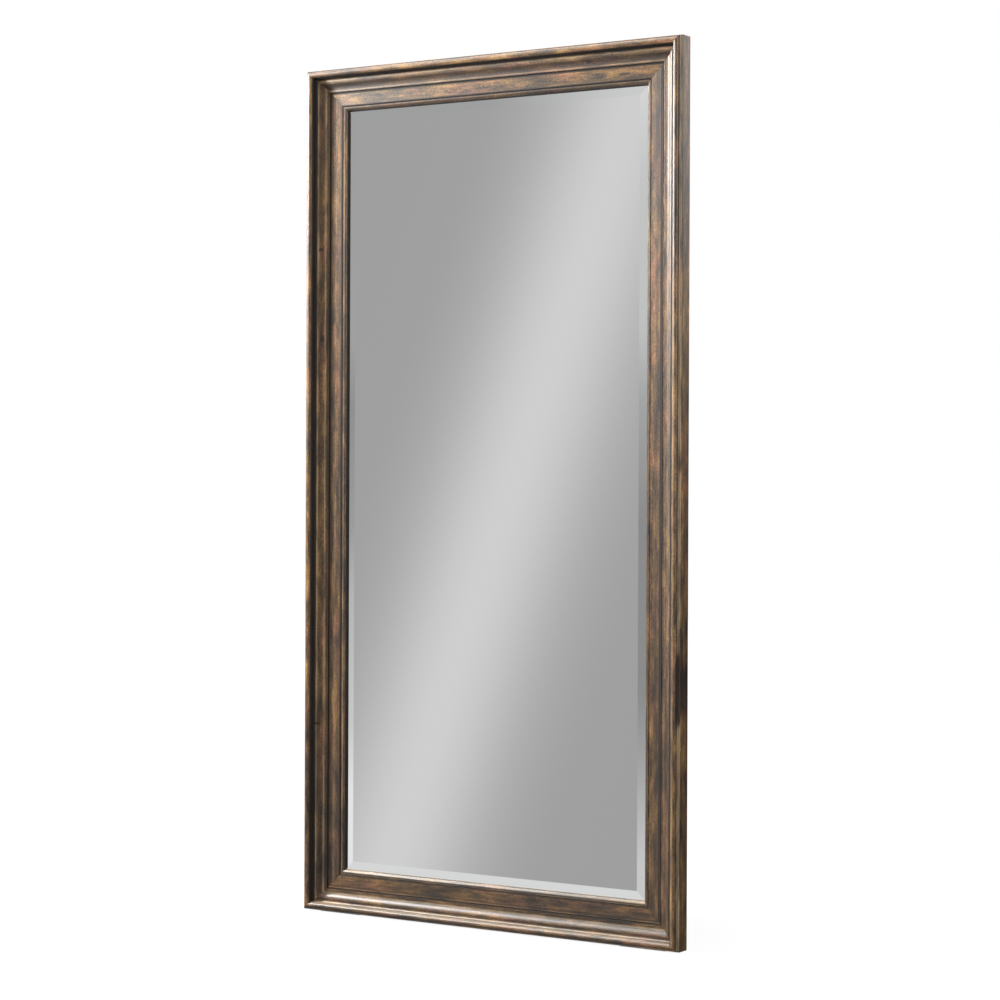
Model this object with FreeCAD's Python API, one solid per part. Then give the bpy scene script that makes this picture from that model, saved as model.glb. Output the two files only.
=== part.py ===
"""Tall floor mirror in a moulded wood frame, built up as a joiner builds it.

Row frame: X to the right, +Y to the back, +Z up, millimetres. The origin is on the floor, in the middle of
the overall width and depth. The mirror stands upright and faces -Y.

Every rail of the frame has the same section, drawn in two section coordinates: u runs from the outer edge of
the frame towards the mirror, and d runs from the front to the back. d is 0 close to the outer edge's front.
"""
import FreeCAD, Part
import math
import os

Vector = FreeCAD.Vector

# ------------------------------------------------------------------ overall size
WIDTH = 1067.0            # over the frame, 42 in
HEIGHT = 2108.0           # floor to top edge, 83 in
SOLE_THICK = 2.5          # rubber soles lift the frame off the floor

# ------------------------------------------------------------------ frame section
BEAD_U = 11.0             # outer bead: middle of its round, and radius
BEAD_D = 2.0
BEAD_R = 9.5
BEAD_OUT_DEG = 26.0       # how far the round runs past its widest point, outside and inside
BEAD_IN_DEG = 18.0
SIDE_ARRIS_D = 9.8        # front edge of the plain side, behind the outer quirk
SIDE_ARRIS_R = 0.9
FILLET_U = 21.5           # narrow fillet between bead and scotia
FILLET_D = 5.3
OGEE_U = 26.9             # ogee, from the arris of the scotia to the lip
OGEE_D = 13.7
LIP_U = 49.2
LIP_D = 22.3
LIP_END_U = 54.4
LIP_R = 1.6
SCOTIA_SAG = 3.4          # depth of the scotia's hollow off its chord
SEAT_D = 25.2             # glue line between moulding and frame board
SEAT_END_U = 56.6         # the quirk beside the moulding's foot
FLAT_U = 58.2             # flat band, sloping gently to the mirror
FLAT_D = 23.7
FLAT_END_U = 90.8
FLAT_END_D = 26.8
BOARD_U = 92.0            # width of the frame board
BOARD_EDGE_R = 1.2
BACK_D = 47.0             # back of the frame
BACK_CHAMFER = 1.5
LEDGE_U = 80.0            # rabbet for the backing board
LEDGE_D = 43.4
SIGHT_U = 94.4            # sight bead: middle of its quarter round, and radius
SIGHT_D = 38.0
SIGHT_R = 10.8
SIGHT_SHOULDER_R = 1.5
SIGHT_END_D = 36.9

# ------------------------------------------------------------------ mirror plate and what is behind it
GLASS_U = 95.0            # edge of the plate
GLASS_FACE_D = 35.0
GLASS_THICK = 6.0
GLASS_EDGE_D = 38.6       # front of the plate at its edge, after bevelling
BEVEL_U = 126.4           # inner line of the bevel
GLASS_GAP = 0.15          # sight bead to glass
FOAM_THICK = 2.0
BACKING_THICK = 3.4
BACKING_PLAY = 1.0        # backing board to the rabbet's shoulder
BLOCK_LENGTH = 60.0       # blocks between the plate's edge and the frame board
BLOCK_PLAY = 0.1

# ------------------------------------------------------------------ joints and hardware
TENON_THICK = 8.0         # loose tenons across the mitres
TENON_WIDTH = 20.0
TENON_LENGTH = 36.0
TENON_U = (30.0, 66.0)
TENON_PLAY = 0.1
SCREW_PLAY = 0.05
SCREW_SIDES = 8           # small round pieces are many-sided
PAN_TAPER = 0.7           # top of a pan head, as a share of its widest radius
SAME_POINT = 1e-6
BACKING_SCREW = (1.6, 3.3, 1.7, 12.0)     # shank radius, head radius, head height, length under the head
PLATE_SCREW = (2.0, 4.0, 2.0, 16.0)
BUMPER_SCREW = (1.8, 3.6, 1.8, 18.0)
PLATE_ARM = 100.0         # flat corner plates
PLATE_WIDTH = 20.0
PLATE_THICK = 2.0
PLATE_U = 32.0
PLATE_HOLES = (36.0, 84.0)
BUMPER_R = 10.0           # rubber wall bumpers behind the top corners
BUMPER_THICK = 8.0
BUMPER_U = 16.0
BUMPER_INSET = 45.0
BUMPER_SIDES = 24
RECESS_R = 4.4            # recess for a screw head in rubber
RECESS_FLOOR = 3.0
FOOT_LENGTH = 120.0       # rubber feet: a sole under the bottom rail and a heel behind it
FOOT_INSET = 40.0
FOOT_FRONT_D = 17.0
HEEL_HEIGHT = 26.0
HEEL_R = 4.0
HEEL_CHAMFER = 1.0
HEEL_SCREW_Z = 14.0
HEEL_SCREW_INSET = 20.0

HANGER_U = 42.0           # strap hangers with D rings, on the back of the stiles
HANGER_Z = 1700.0
STRAP_METAL = 1.0
STRAP_WIDTH = 16.0
STRAP_LENGTH = 62.0
STRAP_HOLES = (28.0, 50.0)
WIRE_R = 2.0
WIRE_PLAY = 0.05
RING_INNER_R = 11.0
RING_LEG = 4.0
RING_BEND_R = 3.0         # at both ends of the bar
RING_BEND_STEPS = 3
RING_ROUND_STEPS = 14
WIRE_SIDES = 12
RING_REST_DEG = 5.0       # the ring rests on its strap, this far off the vertical

FRONT_D = BEAD_D - BEAD_R                 # crest of the outer bead
REAR_D = BACK_D + BUMPER_THICK            # back of the wall bumpers
MIDDLE_D = (FRONT_D + REAR_D) / 2.0
FRAME_BOTTOM = SOLE_THICK
MITRE_REACH = 130.0
HALF_WIDTH = WIDTH / 2.0
SIDES = ("left", "right", "top", "bottom")


# ------------------------------------------------------------------ places on the frame
def place(side, u, d, along):
    """The point at section coordinates u and d of one side, and at along, its X or Z."""
    y = d - MIDDLE_D
    if side == "left":
        return Vector(-HALF_WIDTH + u, y, along)
    if side == "right":
        return Vector(HALF_WIDTH - u, y, along)
    if side == "bottom":
        return Vector(along, y, FRAME_BOTTOM + u)
    return Vector(along, y, HEIGHT - u)


def slab(u, d_front, d_back):
    """A rectangular plate as large as the frame less u on each side, between two depths."""
    width = WIDTH - 2.0 * u
    height = HEIGHT - FRAME_BOTTOM - 2.0 * u
    corner = Vector(-width / 2.0, d_front - MIDDLE_D, FRAME_BOTTOM + u)
    return Part.makeBox(width, d_back - d_front, height, corner)


def on_circle(u, d, radius, degrees):
    """A point on a section circle. 0 degrees points to the mirror and 90 to the back."""
    angle = math.radians(degrees)
    return (u + radius * math.cos(angle), d + radius * math.sin(angle))


def round_step(u, d, radius, start, end):
    """The outline step for an arc about a centre, from one angle to another."""
    return ("arc", on_circle(u, d, radius, (start + end) / 2.0), on_circle(u, d, radius, end))


def section_face(side, start, steps, along):
    """A closed face in one side's section plane, from a start point and line and arc steps."""
    edges = []
    here = place(side, start[0], start[1], along)
    for step in steps:
        there = place(side, step[-1][0], step[-1][1], along)
        if step[0] == "arc":
            middle = place(side, step[1][0], step[1][1], along)
            edges.append(Part.Arc(here, middle, there).toShape())
        else:
            edges.append(Part.makeLine(here, there))
        here = there
    return Part.Face(Part.Wire(edges))


def mitre_region(side):
    """The part of the frame that belongs to one side: a trapezium with 45 degree ends."""
    low = -HALF_WIDTH if side in ("top", "bottom") else FRAME_BOTTOM
    high = HALF_WIDTH if side in ("top", "bottom") else HEIGHT
    reach = MITRE_REACH
    corners = [
        place(side, 0.0, FRONT_D - 5.0, low),
        place(side, 0.0, FRONT_D - 5.0, high),
        place(side, reach, FRONT_D - 5.0, high - reach),
        place(side, reach, FRONT_D - 5.0, low + reach),
    ]
    face = Part.Face(Part.makePolygon(corners + corners[:1]))
    return face.extrude(Vector(0.0, REAR_D - FRONT_D + 10.0, 0.0))


def rail(side, start, steps):
    """One side of the frame: its section run from end to end and mitred at both ends."""
    if side in ("top", "bottom"):
        run = section_face(side, start, steps, -HALF_WIDTH).extrude(Vector(WIDTH, 0.0, 0.0))
    else:
        length = HEIGHT - FRAME_BOTTOM
        run = section_face(side, start, steps, FRAME_BOTTOM).extrude(Vector(0.0, 0.0, length))
    return run.common(mitre_region(side))


# ------------------------------------------------------------------ frame sections
def moulding_section():
    """Outer moulding: plain side, quirk, bead, fillet, scotia, ogee and lip."""
    rise = LIP_D - OGEE_D
    run = LIP_U - OGEE_U
    turn = 2.0 * math.degrees(math.atan2(rise, run))
    radius = run / (2.0 * math.sin(math.radians(turn)))
    bead_end = on_circle(BEAD_U, BEAD_D, BEAD_R, BEAD_IN_DEG)
    chord = (OGEE_U - FILLET_U, OGEE_D - FILLET_D)
    span = math.hypot(chord[0], chord[1])
    hollow = (
        (FILLET_U + OGEE_U) / 2.0 - SCOTIA_SAG * chord[1] / span,
        (FILLET_D + OGEE_D) / 2.0 + SCOTIA_SAG * chord[0] / span,
    )
    start = (0.0, SEAT_D)
    steps = [
        ("line", (0.0, SIDE_ARRIS_D)),
        ("arc", on_circle(SIDE_ARRIS_R, SIDE_ARRIS_D, SIDE_ARRIS_R, 225.0),
         (SIDE_ARRIS_R, SIDE_ARRIS_D - SIDE_ARRIS_R)),
        ("line", on_circle(BEAD_U, BEAD_D, BEAD_R, 180.0 - BEAD_OUT_DEG)),
        round_step(BEAD_U, BEAD_D, BEAD_R, 180.0 - BEAD_OUT_DEG, 360.0 + BEAD_IN_DEG),
        ("line", (FILLET_U, max(FILLET_D, bead_end[1] + 0.2))),
        ("arc", hollow, (OGEE_U, OGEE_D)),
        round_step(OGEE_U, OGEE_D + radius, radius, 270.0, 270.0 + turn),
        round_step(LIP_U, LIP_D - radius, radius, 90.0 + turn, 90.0),
        ("line", (LIP_END_U, LIP_D)),
        round_step(LIP_END_U, LIP_D + LIP_R, LIP_R, 270.0, 360.0),
        ("line", (LIP_END_U + LIP_R, SEAT_D)),
        ("line", start),
    ]
    return start, steps


def board_section():
    """Frame board: seat for the moulding, quirk, flat band, and the rabbet for the backing board."""
    start = (0.0, SEAT_D)
    steps = [
        ("line", (SEAT_END_U, SEAT_D)),
        ("line", (FLAT_U, FLAT_D)),
        ("line", (FLAT_END_U, FLAT_END_D)),
        round_step(FLAT_END_U, FLAT_END_D + BOARD_EDGE_R, BOARD_EDGE_R, 270.0, 360.0),
        ("line", (BOARD_U, LEDGE_D)),
        ("line", (LEDGE_U, LEDGE_D)),
        ("line", (LEDGE_U, BACK_D)),
        ("line", (BACK_CHAMFER, BACK_D)),
        ("line", (0.0, BACK_D - BACK_CHAMFER)),
        ("line", start),
    ]
    return start, steps


def sight_bead_section():
    """Sight bead: a quarter round that laps the edge of the mirror plate."""
    slope = (GLASS_EDGE_D - GLASS_FACE_D) / (BEVEL_U - GLASS_U)
    end_degrees = -math.degrees(math.asin((SIGHT_D - SIGHT_END_D) / SIGHT_R))
    tip_u = on_circle(SIGHT_U, SIGHT_D, SIGHT_R, end_degrees)[0]
    crest_d = SIGHT_D - SIGHT_R
    under_d = GLASS_EDGE_D - GLASS_GAP
    start = (BOARD_U, under_d)
    steps = [
        ("line", (BOARD_U, crest_d + 2.0)),
        ("line", (SIGHT_U - SIGHT_SHOULDER_R, crest_d + SIGHT_SHOULDER_R)),
        round_step(SIGHT_U, crest_d + SIGHT_SHOULDER_R, SIGHT_SHOULDER_R, 180.0, 270.0),
        round_step(SIGHT_U, SIGHT_D, SIGHT_R, -90.0, end_degrees),
        ("line", (tip_u, under_d - slope * (tip_u - GLASS_U))),
        ("line", (GLASS_U, under_d)),
        ("line", start),
    ]
    return start, steps


# ------------------------------------------------------------------ fasteners
def skin(rings):
    """The solid between rings of points, each joined to the next, and the last to the first."""
    faces = []
    for near, far in zip(rings, rings[1:] + rings[:1]):
        for k in range(len(near)):
            corners = [near[k - 1], near[k], far[k], far[k - 1]]
            corners = [c for i, c in enumerate(corners) if not c.isEqual(corners[i - 1], SAME_POINT)]
            if len(corners) > 2:
                faces.append(Part.Face(Part.makePolygon(corners + corners[:1])))
    return Part.makeSolid(Part.makeShell(faces))


def turned(points, sides, origin):
    """A many-sided round solid on an axis along Y, from (distance to the back, radius) points."""
    rings = []
    for along, radius in points:
        spots = [on_circle(0.0, 0.0, radius, 360.0 * (k + 0.5) / sides) for k in range(sides)]
        rings.append([origin + Vector(x, along, z) for x, z in spots])
    return skin(rings)


def screw(size, seat):
    """A pan head wood screw driven forwards from the back; seat is the point under its head."""
    shank, head, high, length = size
    points = [
        (high, 0.0),
        (high, head * PAN_TAPER),
        (0.0, head),
        (0.0, shank),
        (-length + 2.0 * shank, shank),
        (-length, 0.0),
    ]
    return turned(points, SCREW_SIDES, seat)


def screw_hole(size, seat):
    """The space that a screw's shank takes in the pieces that it holds."""
    shank, head, high, length = size
    points = [
        (high, 0.0),
        (high, shank + SCREW_PLAY),
        (-length + 2.0 * shank, shank + SCREW_PLAY),
        (-length - SCREW_PLAY, 0.0),
    ]
    return turned(points, SCREW_SIDES, seat)


def loose_tenon(corner_x, corner_z, u, play):
    """A round-edged tenon across one mitre. corner_x and corner_z are -1 or 1."""
    radius = TENON_THICK / 2.0 + play
    flat = TENON_WIDTH / 2.0 - TENON_THICK / 2.0
    along = TENON_LENGTH / 2.0 + play
    turns = (-90.0, -45.0, 0.0, 45.0, 90.0)
    outline = [on_circle(flat, 0.0, radius, turn) for turn in turns]
    outline += [on_circle(-flat, 0.0, radius, 180.0 + turn) for turn in turns]
    points = [Vector(x, y, -along) for x, y in outline]
    solid = Part.Face(Part.makePolygon(points + points[:1])).extrude(Vector(0.0, 0.0, 2.0 * along))
    middle_d = (SEAT_D + LEDGE_D) / 2.0
    x = corner_x * (HALF_WIDTH - u)
    solid.rotate(Vector(0.0, 0.0, 0.0), Vector(0.0, 1.0, 0.0), -45.0 * corner_x * corner_z)
    solid.translate(Vector(x, middle_d - MIDDLE_D, corner_height(corner_z, u)))
    return solid


# ------------------------------------------------------------------ hardware on the back
def back_point(u_x, corner_x, z):
    """A point on the back of the frame, u_x in from one side edge, at a height."""
    return Vector(corner_x * (HALF_WIDTH - u_x), BACK_D - MIDDLE_D, z)


def corner_height(corner_z, u):
    """The height that lies u in from the bottom or the top edge of the frame."""
    return FRAME_BOTTOM + u if corner_z < 0 else HEIGHT - u


def plate_hole_seats(corner_x, corner_z):
    """The screw seats of one corner plate, two on each arm."""
    middle = PLATE_U + PLATE_WIDTH / 2.0
    seats = []
    for reach in PLATE_HOLES:
        for u_x, u_z in ((PLATE_U + reach, middle), (middle, PLATE_U + reach)):
            seat = back_point(u_x, corner_x, corner_height(corner_z, u_z))
            seats.append(seat + Vector(0.0, PLATE_THICK, 0.0))
    return seats


def corner_plate(corner_x, corner_z):
    """A flat L-shaped steel plate across one mitre, with rounded arm ends and four holes."""
    near = PLATE_U
    far = PLATE_U + PLATE_ARM
    inner = PLATE_U + PLATE_WIDTH
    radius = PLATE_WIDTH / 2.0

    def at(u_x, u_z):
        return back_point(u_x, corner_x, corner_height(corner_z, u_z))

    edges = [
        Part.makeLine(at(near, near), at(far - radius, near)),
        Part.Arc(at(far - radius, near), at(far, near + radius), at(far - radius, inner)).toShape(),
        Part.makeLine(at(far - radius, inner), at(inner, inner)),
        Part.makeLine(at(inner, inner), at(inner, far - radius)),
        Part.Arc(at(inner, far - radius), at(near + radius, far), at(near, far - radius)).toShape(),
        Part.makeLine(at(near, far - radius), at(near, near)),
    ]
    plate = Part.Face(Part.Wire(edges)).extrude(Vector(0.0, PLATE_THICK, 0.0))
    for seat in plate_hole_seats(corner_x, corner_z):
        plate = plate.cut(screw_hole(PLATE_SCREW, seat))
    return plate


def bumper_foot(corner_x):
    """Where a wall bumper stands on the back of the frame, by one of the top corners."""
    return back_point(BUMPER_U, corner_x, corner_height(1, BUMPER_INSET))


def wall_bumper(corner_x):
    """A tapered rubber bumper with a recess for its screw."""
    points = [
        (0.0, BUMPER_SCREW[0] + SCREW_PLAY),
        (0.0, BUMPER_R),
        (BUMPER_THICK - 1.5, BUMPER_R - 1.0),
        (BUMPER_THICK, BUMPER_R - 2.5),
        (BUMPER_THICK, RECESS_R),
        (RECESS_FLOOR, RECESS_R),
        (RECESS_FLOOR, BUMPER_SCREW[0] + SCREW_PLAY),
    ]
    return turned(points, BUMPER_SIDES, bumper_foot(corner_x))


def foot_end(corner_x):
    """The X of a foot's end with the lower X."""
    outer = HALF_WIDTH - FOOT_INSET
    return outer - FOOT_LENGTH if corner_x > 0 else -outer


def heel_seats(corner_x):
    """Where the heads of the two screws through one heel sit, down in its recesses."""
    low = foot_end(corner_x)
    y = BACK_D + RECESS_FLOOR - MIDDLE_D
    return [Vector(low + x, y, HEEL_SCREW_Z) for x in (HEEL_SCREW_INSET, FOOT_LENGTH - HEEL_SCREW_INSET)]


def floor_foot(corner_x):
    """A rubber foot round the rail's lower back edge, with recesses for its two screws."""
    low = foot_end(corner_x)

    def at(d, z):
        return Vector(low, d - MIDDLE_D, z)

    crown = [on_circle(REAR_D - HEEL_R, HEEL_HEIGHT - HEEL_R, HEEL_R, turn) for turn in (0.0, 45.0, 90.0)]
    outline = [at(FOOT_FRONT_D, 0.0), at(REAR_D - HEEL_CHAMFER, 0.0), at(REAR_D, HEEL_CHAMFER)]
    edges = [Part.makePolygon(outline + [at(*crown[0])])]
    edges.append(Part.Arc(at(*crown[0]), at(*crown[1]), at(*crown[2])).toShape())
    inner = [at(*crown[2]), at(BACK_D, HEEL_HEIGHT), at(BACK_D, SOLE_THICK), at(FOOT_FRONT_D, SOLE_THICK)]
    edges.append(Part.makePolygon(inner + outline[:1]))
    foot = Part.Face(Part.Wire([e for part in edges for e in part.Edges]))
    foot = foot.extrude(Vector(FOOT_LENGTH, 0.0, 0.0))
    for seat in heel_seats(corner_x):
        recess = [(0.0, 0.0), (0.0, RECESS_R), (BUMPER_THICK, RECESS_R), (BUMPER_THICK, 0.0)]
        foot = foot.cut(turned(recess, BUMPER_SIDES, seat)).cut(screw_hole(BUMPER_SCREW, seat))
    return foot


# ------------------------------------------------------------------ strap hangers and their D rings
LOOP_D = BACK_D + STRAP_METAL + WIRE_R + WIRE_PLAY
LOOP_OUTER_R = WIRE_R + WIRE_PLAY + STRAP_METAL


def loop_centre(corner_x):
    """The middle of the rolled loop, which is the ring's pivot."""
    return Vector(corner_x * (HALF_WIDTH - HANGER_U), LOOP_D - MIDDLE_D, HANGER_Z)


def strap_hole_seats(corner_x):
    """The seats of the two screws through one strap."""
    centre = loop_centre(corner_x)
    y = BACK_D + 2.0 * STRAP_METAL - MIDDLE_D
    return [Vector(centre.x, y, centre.z - drop) for drop in STRAP_HOLES]


def hanger_strap(corner_x):
    """A steel strap folded double round the ring's bar: a rolled loop with a flat two-hole tail."""
    centre = loop_centre(corner_x)
    half = STRAP_WIDTH / 2.0
    start = Vector(centre.x - half, centre.y, centre.z)
    across = Vector(1.0, 0.0, 0.0)
    loop = Part.makeCylinder(LOOP_OUTER_R, STRAP_WIDTH, start, across)
    thick = 2.0 * STRAP_METAL
    back_y = BACK_D - MIDDLE_D
    tail = Part.makeBox(STRAP_WIDTH, thick, STRAP_LENGTH, Vector(start.x, back_y, centre.z - STRAP_LENGTH))
    ends = [e for e in tail.Edges
            if abs(e.tangentAt(e.FirstParameter).y) > 0.9 and e.CenterOfMass.z < centre.z - half]
    tail = tail.makeFillet(half - 0.5, ends)
    strap = loop.fuse(tail).cut(Part.makeCylinder(WIRE_R + WIRE_PLAY, STRAP_WIDTH, start, across))
    for seat in strap_hole_seats(corner_x):
        strap = strap.cut(screw_hole(PLATE_SCREW, seat))
    return strap.removeSplitter()


def bent_wire(path, radius, sides):
    """A closed loop of many-sided wire, mitred at each (x, z) point of its path."""
    spots = [Vector(x, 0.0, z) for x, z in path]
    rings = []
    for i, here in enumerate(spots):
        coming = here - spots[i - 1]
        going = spots[(i + 1) % len(spots)] - here
        out_of_coming = Vector(coming.z, 0.0, -coming.x) / coming.Length
        out_of_going = Vector(going.z, 0.0, -going.x) / going.Length
        mitre = (out_of_coming + out_of_going) / (1.0 + out_of_coming.dot(out_of_going))
        turns = [on_circle(0.0, 0.0, radius, 360.0 * (k + 0.5) / sides) for k in range(sides)]
        rings.append([here + mitre * across + Vector(0.0, deep, 0.0) for across, deep in turns])
    return skin(rings)


def d_ring(corner_x):
    """A D ring of round wire: a straight bar through the loop, two short legs and a half round."""
    reach = RING_INNER_R + WIRE_R
    bends = (
        (reach - RING_BEND_R, -RING_BEND_R, RING_BEND_R, 90.0, 0.0, RING_BEND_STEPS),
        (0.0, -RING_LEG, reach, 0.0, -180.0, RING_ROUND_STEPS),
        (RING_BEND_R - reach, -RING_BEND_R, RING_BEND_R, 180.0, 90.0, RING_BEND_STEPS),
    )
    path = []
    for x, z, radius, first, last, steps in bends:
        path += [on_circle(x, z, radius, first + (last - first) * k / steps) for k in range(steps + 1)]
    ring = bent_wire(path, WIRE_R, WIRE_SIDES)
    ring.rotate(Vector(0.0, 0.0, 0.0), Vector(1.0, 0.0, 0.0), RING_REST_DEG)
    ring.translate(loop_centre(corner_x))
    return ring


# ------------------------------------------------------------------ mirror plate and backing
def mirror_plate():
    """The mirror: a plate with a wide bevel ground all round its front."""
    body = slab(GLASS_U, GLASS_EDGE_D, GLASS_FACE_D + GLASS_THICK)

    def ring_at(u, d):
        low = place("left", u, d, FRAME_BOTTOM + u)
        high = place("right", u, d, HEIGHT - u)
        corners = [
            low,
            Vector(high.x, low.y, low.z),
            high,
            Vector(low.x, low.y, high.z),
        ]
        return Part.makePolygon(corners + corners[:1])

    bevel = Part.makeLoft([ring_at(GLASS_U, GLASS_EDGE_D), ring_at(BEVEL_U, GLASS_FACE_D)], True, True)
    return body.fuse(bevel).removeSplitter()


def edge_block(side, along):
    """A block in the gap between the plate's edge and the frame board."""
    gap = GLASS_U - BOARD_U - 2.0 * BLOCK_PLAY
    depth = GLASS_FACE_D + GLASS_THICK - GLASS_EDGE_D
    here = place(side, BOARD_U + BLOCK_PLAY, GLASS_EDGE_D, along - BLOCK_LENGTH / 2.0)
    there = place(side, BOARD_U + BLOCK_PLAY + gap, GLASS_EDGE_D + depth, along + BLOCK_LENGTH / 2.0)
    low = Vector(min(here.x, there.x), min(here.y, there.y), min(here.z, there.z))
    return Part.makeBox(abs(there.x - here.x), abs(there.y - here.y), abs(there.z - here.z), low)


def backing_screw_seats():
    """The seats of the screws round the backing board, evenly spaced along each side."""
    u = (LEDGE_U + BACKING_PLAY + BOARD_U) / 2.0
    d = LEDGE_D + BACKING_THICK
    seats = []
    for side in ("top", "bottom"):
        for share in (-1.0, 0.0, 1.0):
            seats.append(place(side, u, d, share * (HALF_WIDTH - 3.0 * u / 2.0)))
    middle = (FRAME_BOTTOM + HEIGHT) / 2.0
    reach = middle - FRAME_BOTTOM - 2.5 * u
    for side in ("left", "right"):
        for share in (-1.0, -0.5, 0.0, 0.5, 1.0):
            seats.append(place(side, u, d, middle + share * reach))
    return seats


# ------------------------------------------------------------------ build
def build():
    """Every piece by its node name."""
    corners = [(cx, cz) for cz in (-1, 1) for cx in (-1, 1)]
    names = {-1: ("left", "bottom"), 1: ("right", "top")}
    nodes = {}

    # everything that is let into the frame boards
    backing_seats = backing_screw_seats()
    plate_seats = [s for cx, cz in corners for s in plate_hole_seats(cx, cz)]
    strap_seats = [s for cx in (-1, 1) for s in strap_hole_seats(cx)]
    bumper_seats = [bumper_foot(cx) + Vector(0.0, RECESS_FLOOR, 0.0) for cx in (-1, 1)]
    foot_seats = [s for cx in (-1, 1) for s in heel_seats(cx)]
    holes = [screw_hole(BACKING_SCREW, s) for s in backing_seats]
    holes += [screw_hole(PLATE_SCREW, s) for s in plate_seats + strap_seats]
    holes += [screw_hole(BUMPER_SCREW, s) for s in bumper_seats + foot_seats]
    holes += [loose_tenon(cx, cz, u, TENON_PLAY) for cx, cz in corners for u in TENON_U]
    let_in = Part.makeCompound(holes)

    for side in SIDES:
        board_name = side + ("_rail" if side in ("top", "bottom") else "_stile")
        nodes[board_name] = rail(side, *board_section()).cut(let_in)
        nodes["outer_moulding_" + side] = rail(side, *moulding_section())
        nodes["sight_bead_" + side] = rail(side, *sight_bead_section())
    nodes["mitre_tenons"] = Part.makeCompound(
        [loose_tenon(cx, cz, u, 0.0) for cx, cz in corners for u in TENON_U])

    # mirror plate and what holds it
    nodes["mirror_plate"] = mirror_plate()
    nodes["setting_blocks"] = Part.makeCompound([edge_block("bottom", x) for x in (-220.0, 220.0)])
    shims = [edge_block("top", x) for x in (-220.0, 220.0)]
    shims += [edge_block(side, z) for side in ("left", "right") for z in (500.0, 1600.0)]
    nodes["edge_shims"] = Part.makeCompound(shims)
    glass_back = GLASS_FACE_D + GLASS_THICK
    nodes["foam_sheet"] = slab(GLASS_U, glass_back + BLOCK_PLAY, glass_back + BLOCK_PLAY + FOAM_THICK)
    board = slab(LEDGE_U + BACKING_PLAY, LEDGE_D, LEDGE_D + BACKING_THICK)
    backing_holes = Part.makeCompound([screw_hole(BACKING_SCREW, s) for s in backing_seats])
    nodes["backing_board"] = board.cut(backing_holes)
    nodes["backing_screws"] = Part.makeCompound([screw(BACKING_SCREW, s) for s in backing_seats])

    # hardware on the back and under the frame
    for cx, cz in corners:
        corner = names[cz][1] + "_" + names[cx][0]
        nodes["corner_plate_" + corner] = corner_plate(cx, cz)
    nodes["corner_plate_screws"] = Part.makeCompound([screw(PLATE_SCREW, s) for s in plate_seats])
    nodes["bumper_screws"] = Part.makeCompound([screw(BUMPER_SCREW, s) for s in bumper_seats])
    nodes["foot_screws"] = Part.makeCompound([screw(BUMPER_SCREW, s) for s in foot_seats])
    for cx in (-1, 1):
        nodes["hanger_strap_" + names[cx][0]] = hanger_strap(cx)
        nodes["hanger_ring_" + names[cx][0]] = d_ring(cx)
        nodes["wall_bumper_" + names[cx][0]] = wall_bumper(cx)
        nodes["floor_foot_" + names[cx][0]] = floor_foot(cx)
    nodes["hanger_screws"] = Part.makeCompound([screw(PLATE_SCREW, s) for s in strap_seats])
    return nodes


os.makedirs("parts", exist_ok=True)
for node, shape in build().items():
    shape.exportStep("parts/" + node + ".step")
    solids = len(shape.Solids)
    print(node, "solids", solids, "volume_cm3", round(shape.Volume / 1000.0, 2), "valid", shape.isValid())
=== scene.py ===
"""Looks of a tall floor mirror: a bevelled plate in a mitred, moulded and distressed wood frame.

Everything is in metres in the row frame: X to the right, +Y to the back, +Z up, the floor at Z = 0. Sizes
of the frame's section are in millimetres, in two section coordinates: u from the outer edge of the frame
towards the mirror, and d from the front to the back.
"""

import logging
import math
from dataclasses import dataclass
from enum import Enum
from functools import partialmethod

import bpy
from mathutils import Matrix, Vector


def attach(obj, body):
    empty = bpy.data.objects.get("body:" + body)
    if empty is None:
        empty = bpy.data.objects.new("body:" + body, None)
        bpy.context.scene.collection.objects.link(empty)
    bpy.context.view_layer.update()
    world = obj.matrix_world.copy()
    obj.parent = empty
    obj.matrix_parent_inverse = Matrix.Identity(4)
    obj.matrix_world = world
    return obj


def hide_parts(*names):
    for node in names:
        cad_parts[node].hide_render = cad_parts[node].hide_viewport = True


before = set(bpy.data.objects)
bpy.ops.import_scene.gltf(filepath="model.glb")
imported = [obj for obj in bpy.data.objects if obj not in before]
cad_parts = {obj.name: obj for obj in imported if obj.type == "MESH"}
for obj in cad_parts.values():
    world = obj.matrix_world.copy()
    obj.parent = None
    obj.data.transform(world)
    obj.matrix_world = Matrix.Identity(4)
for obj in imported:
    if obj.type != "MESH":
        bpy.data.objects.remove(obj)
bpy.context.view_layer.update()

log = logging.getLogger("floor_mirror")

MM = 0.001
WIDTH = 1067.0 * MM
HEIGHT = 2108.0 * MM
SOLE_THICK = 2.5 * MM
HALF_WIDTH = WIDTH / 2.0
FRAME_HEIGHT = HEIGHT - SOLE_THICK
MIDDLE_Z = SOLE_THICK + FRAME_HEIGHT / 2.0
MIDDLE_D = 23.75
SEAT_D = 25.2
BOARD_U = 92.0
BACK_D = 47.0
BEVEL_U = 126.4
BODY = "frame"
SMOOTH_DEGREES = 32.0
EDGE_DEGREES = 38.0
DOUBLES = 0.001 * MM


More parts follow.
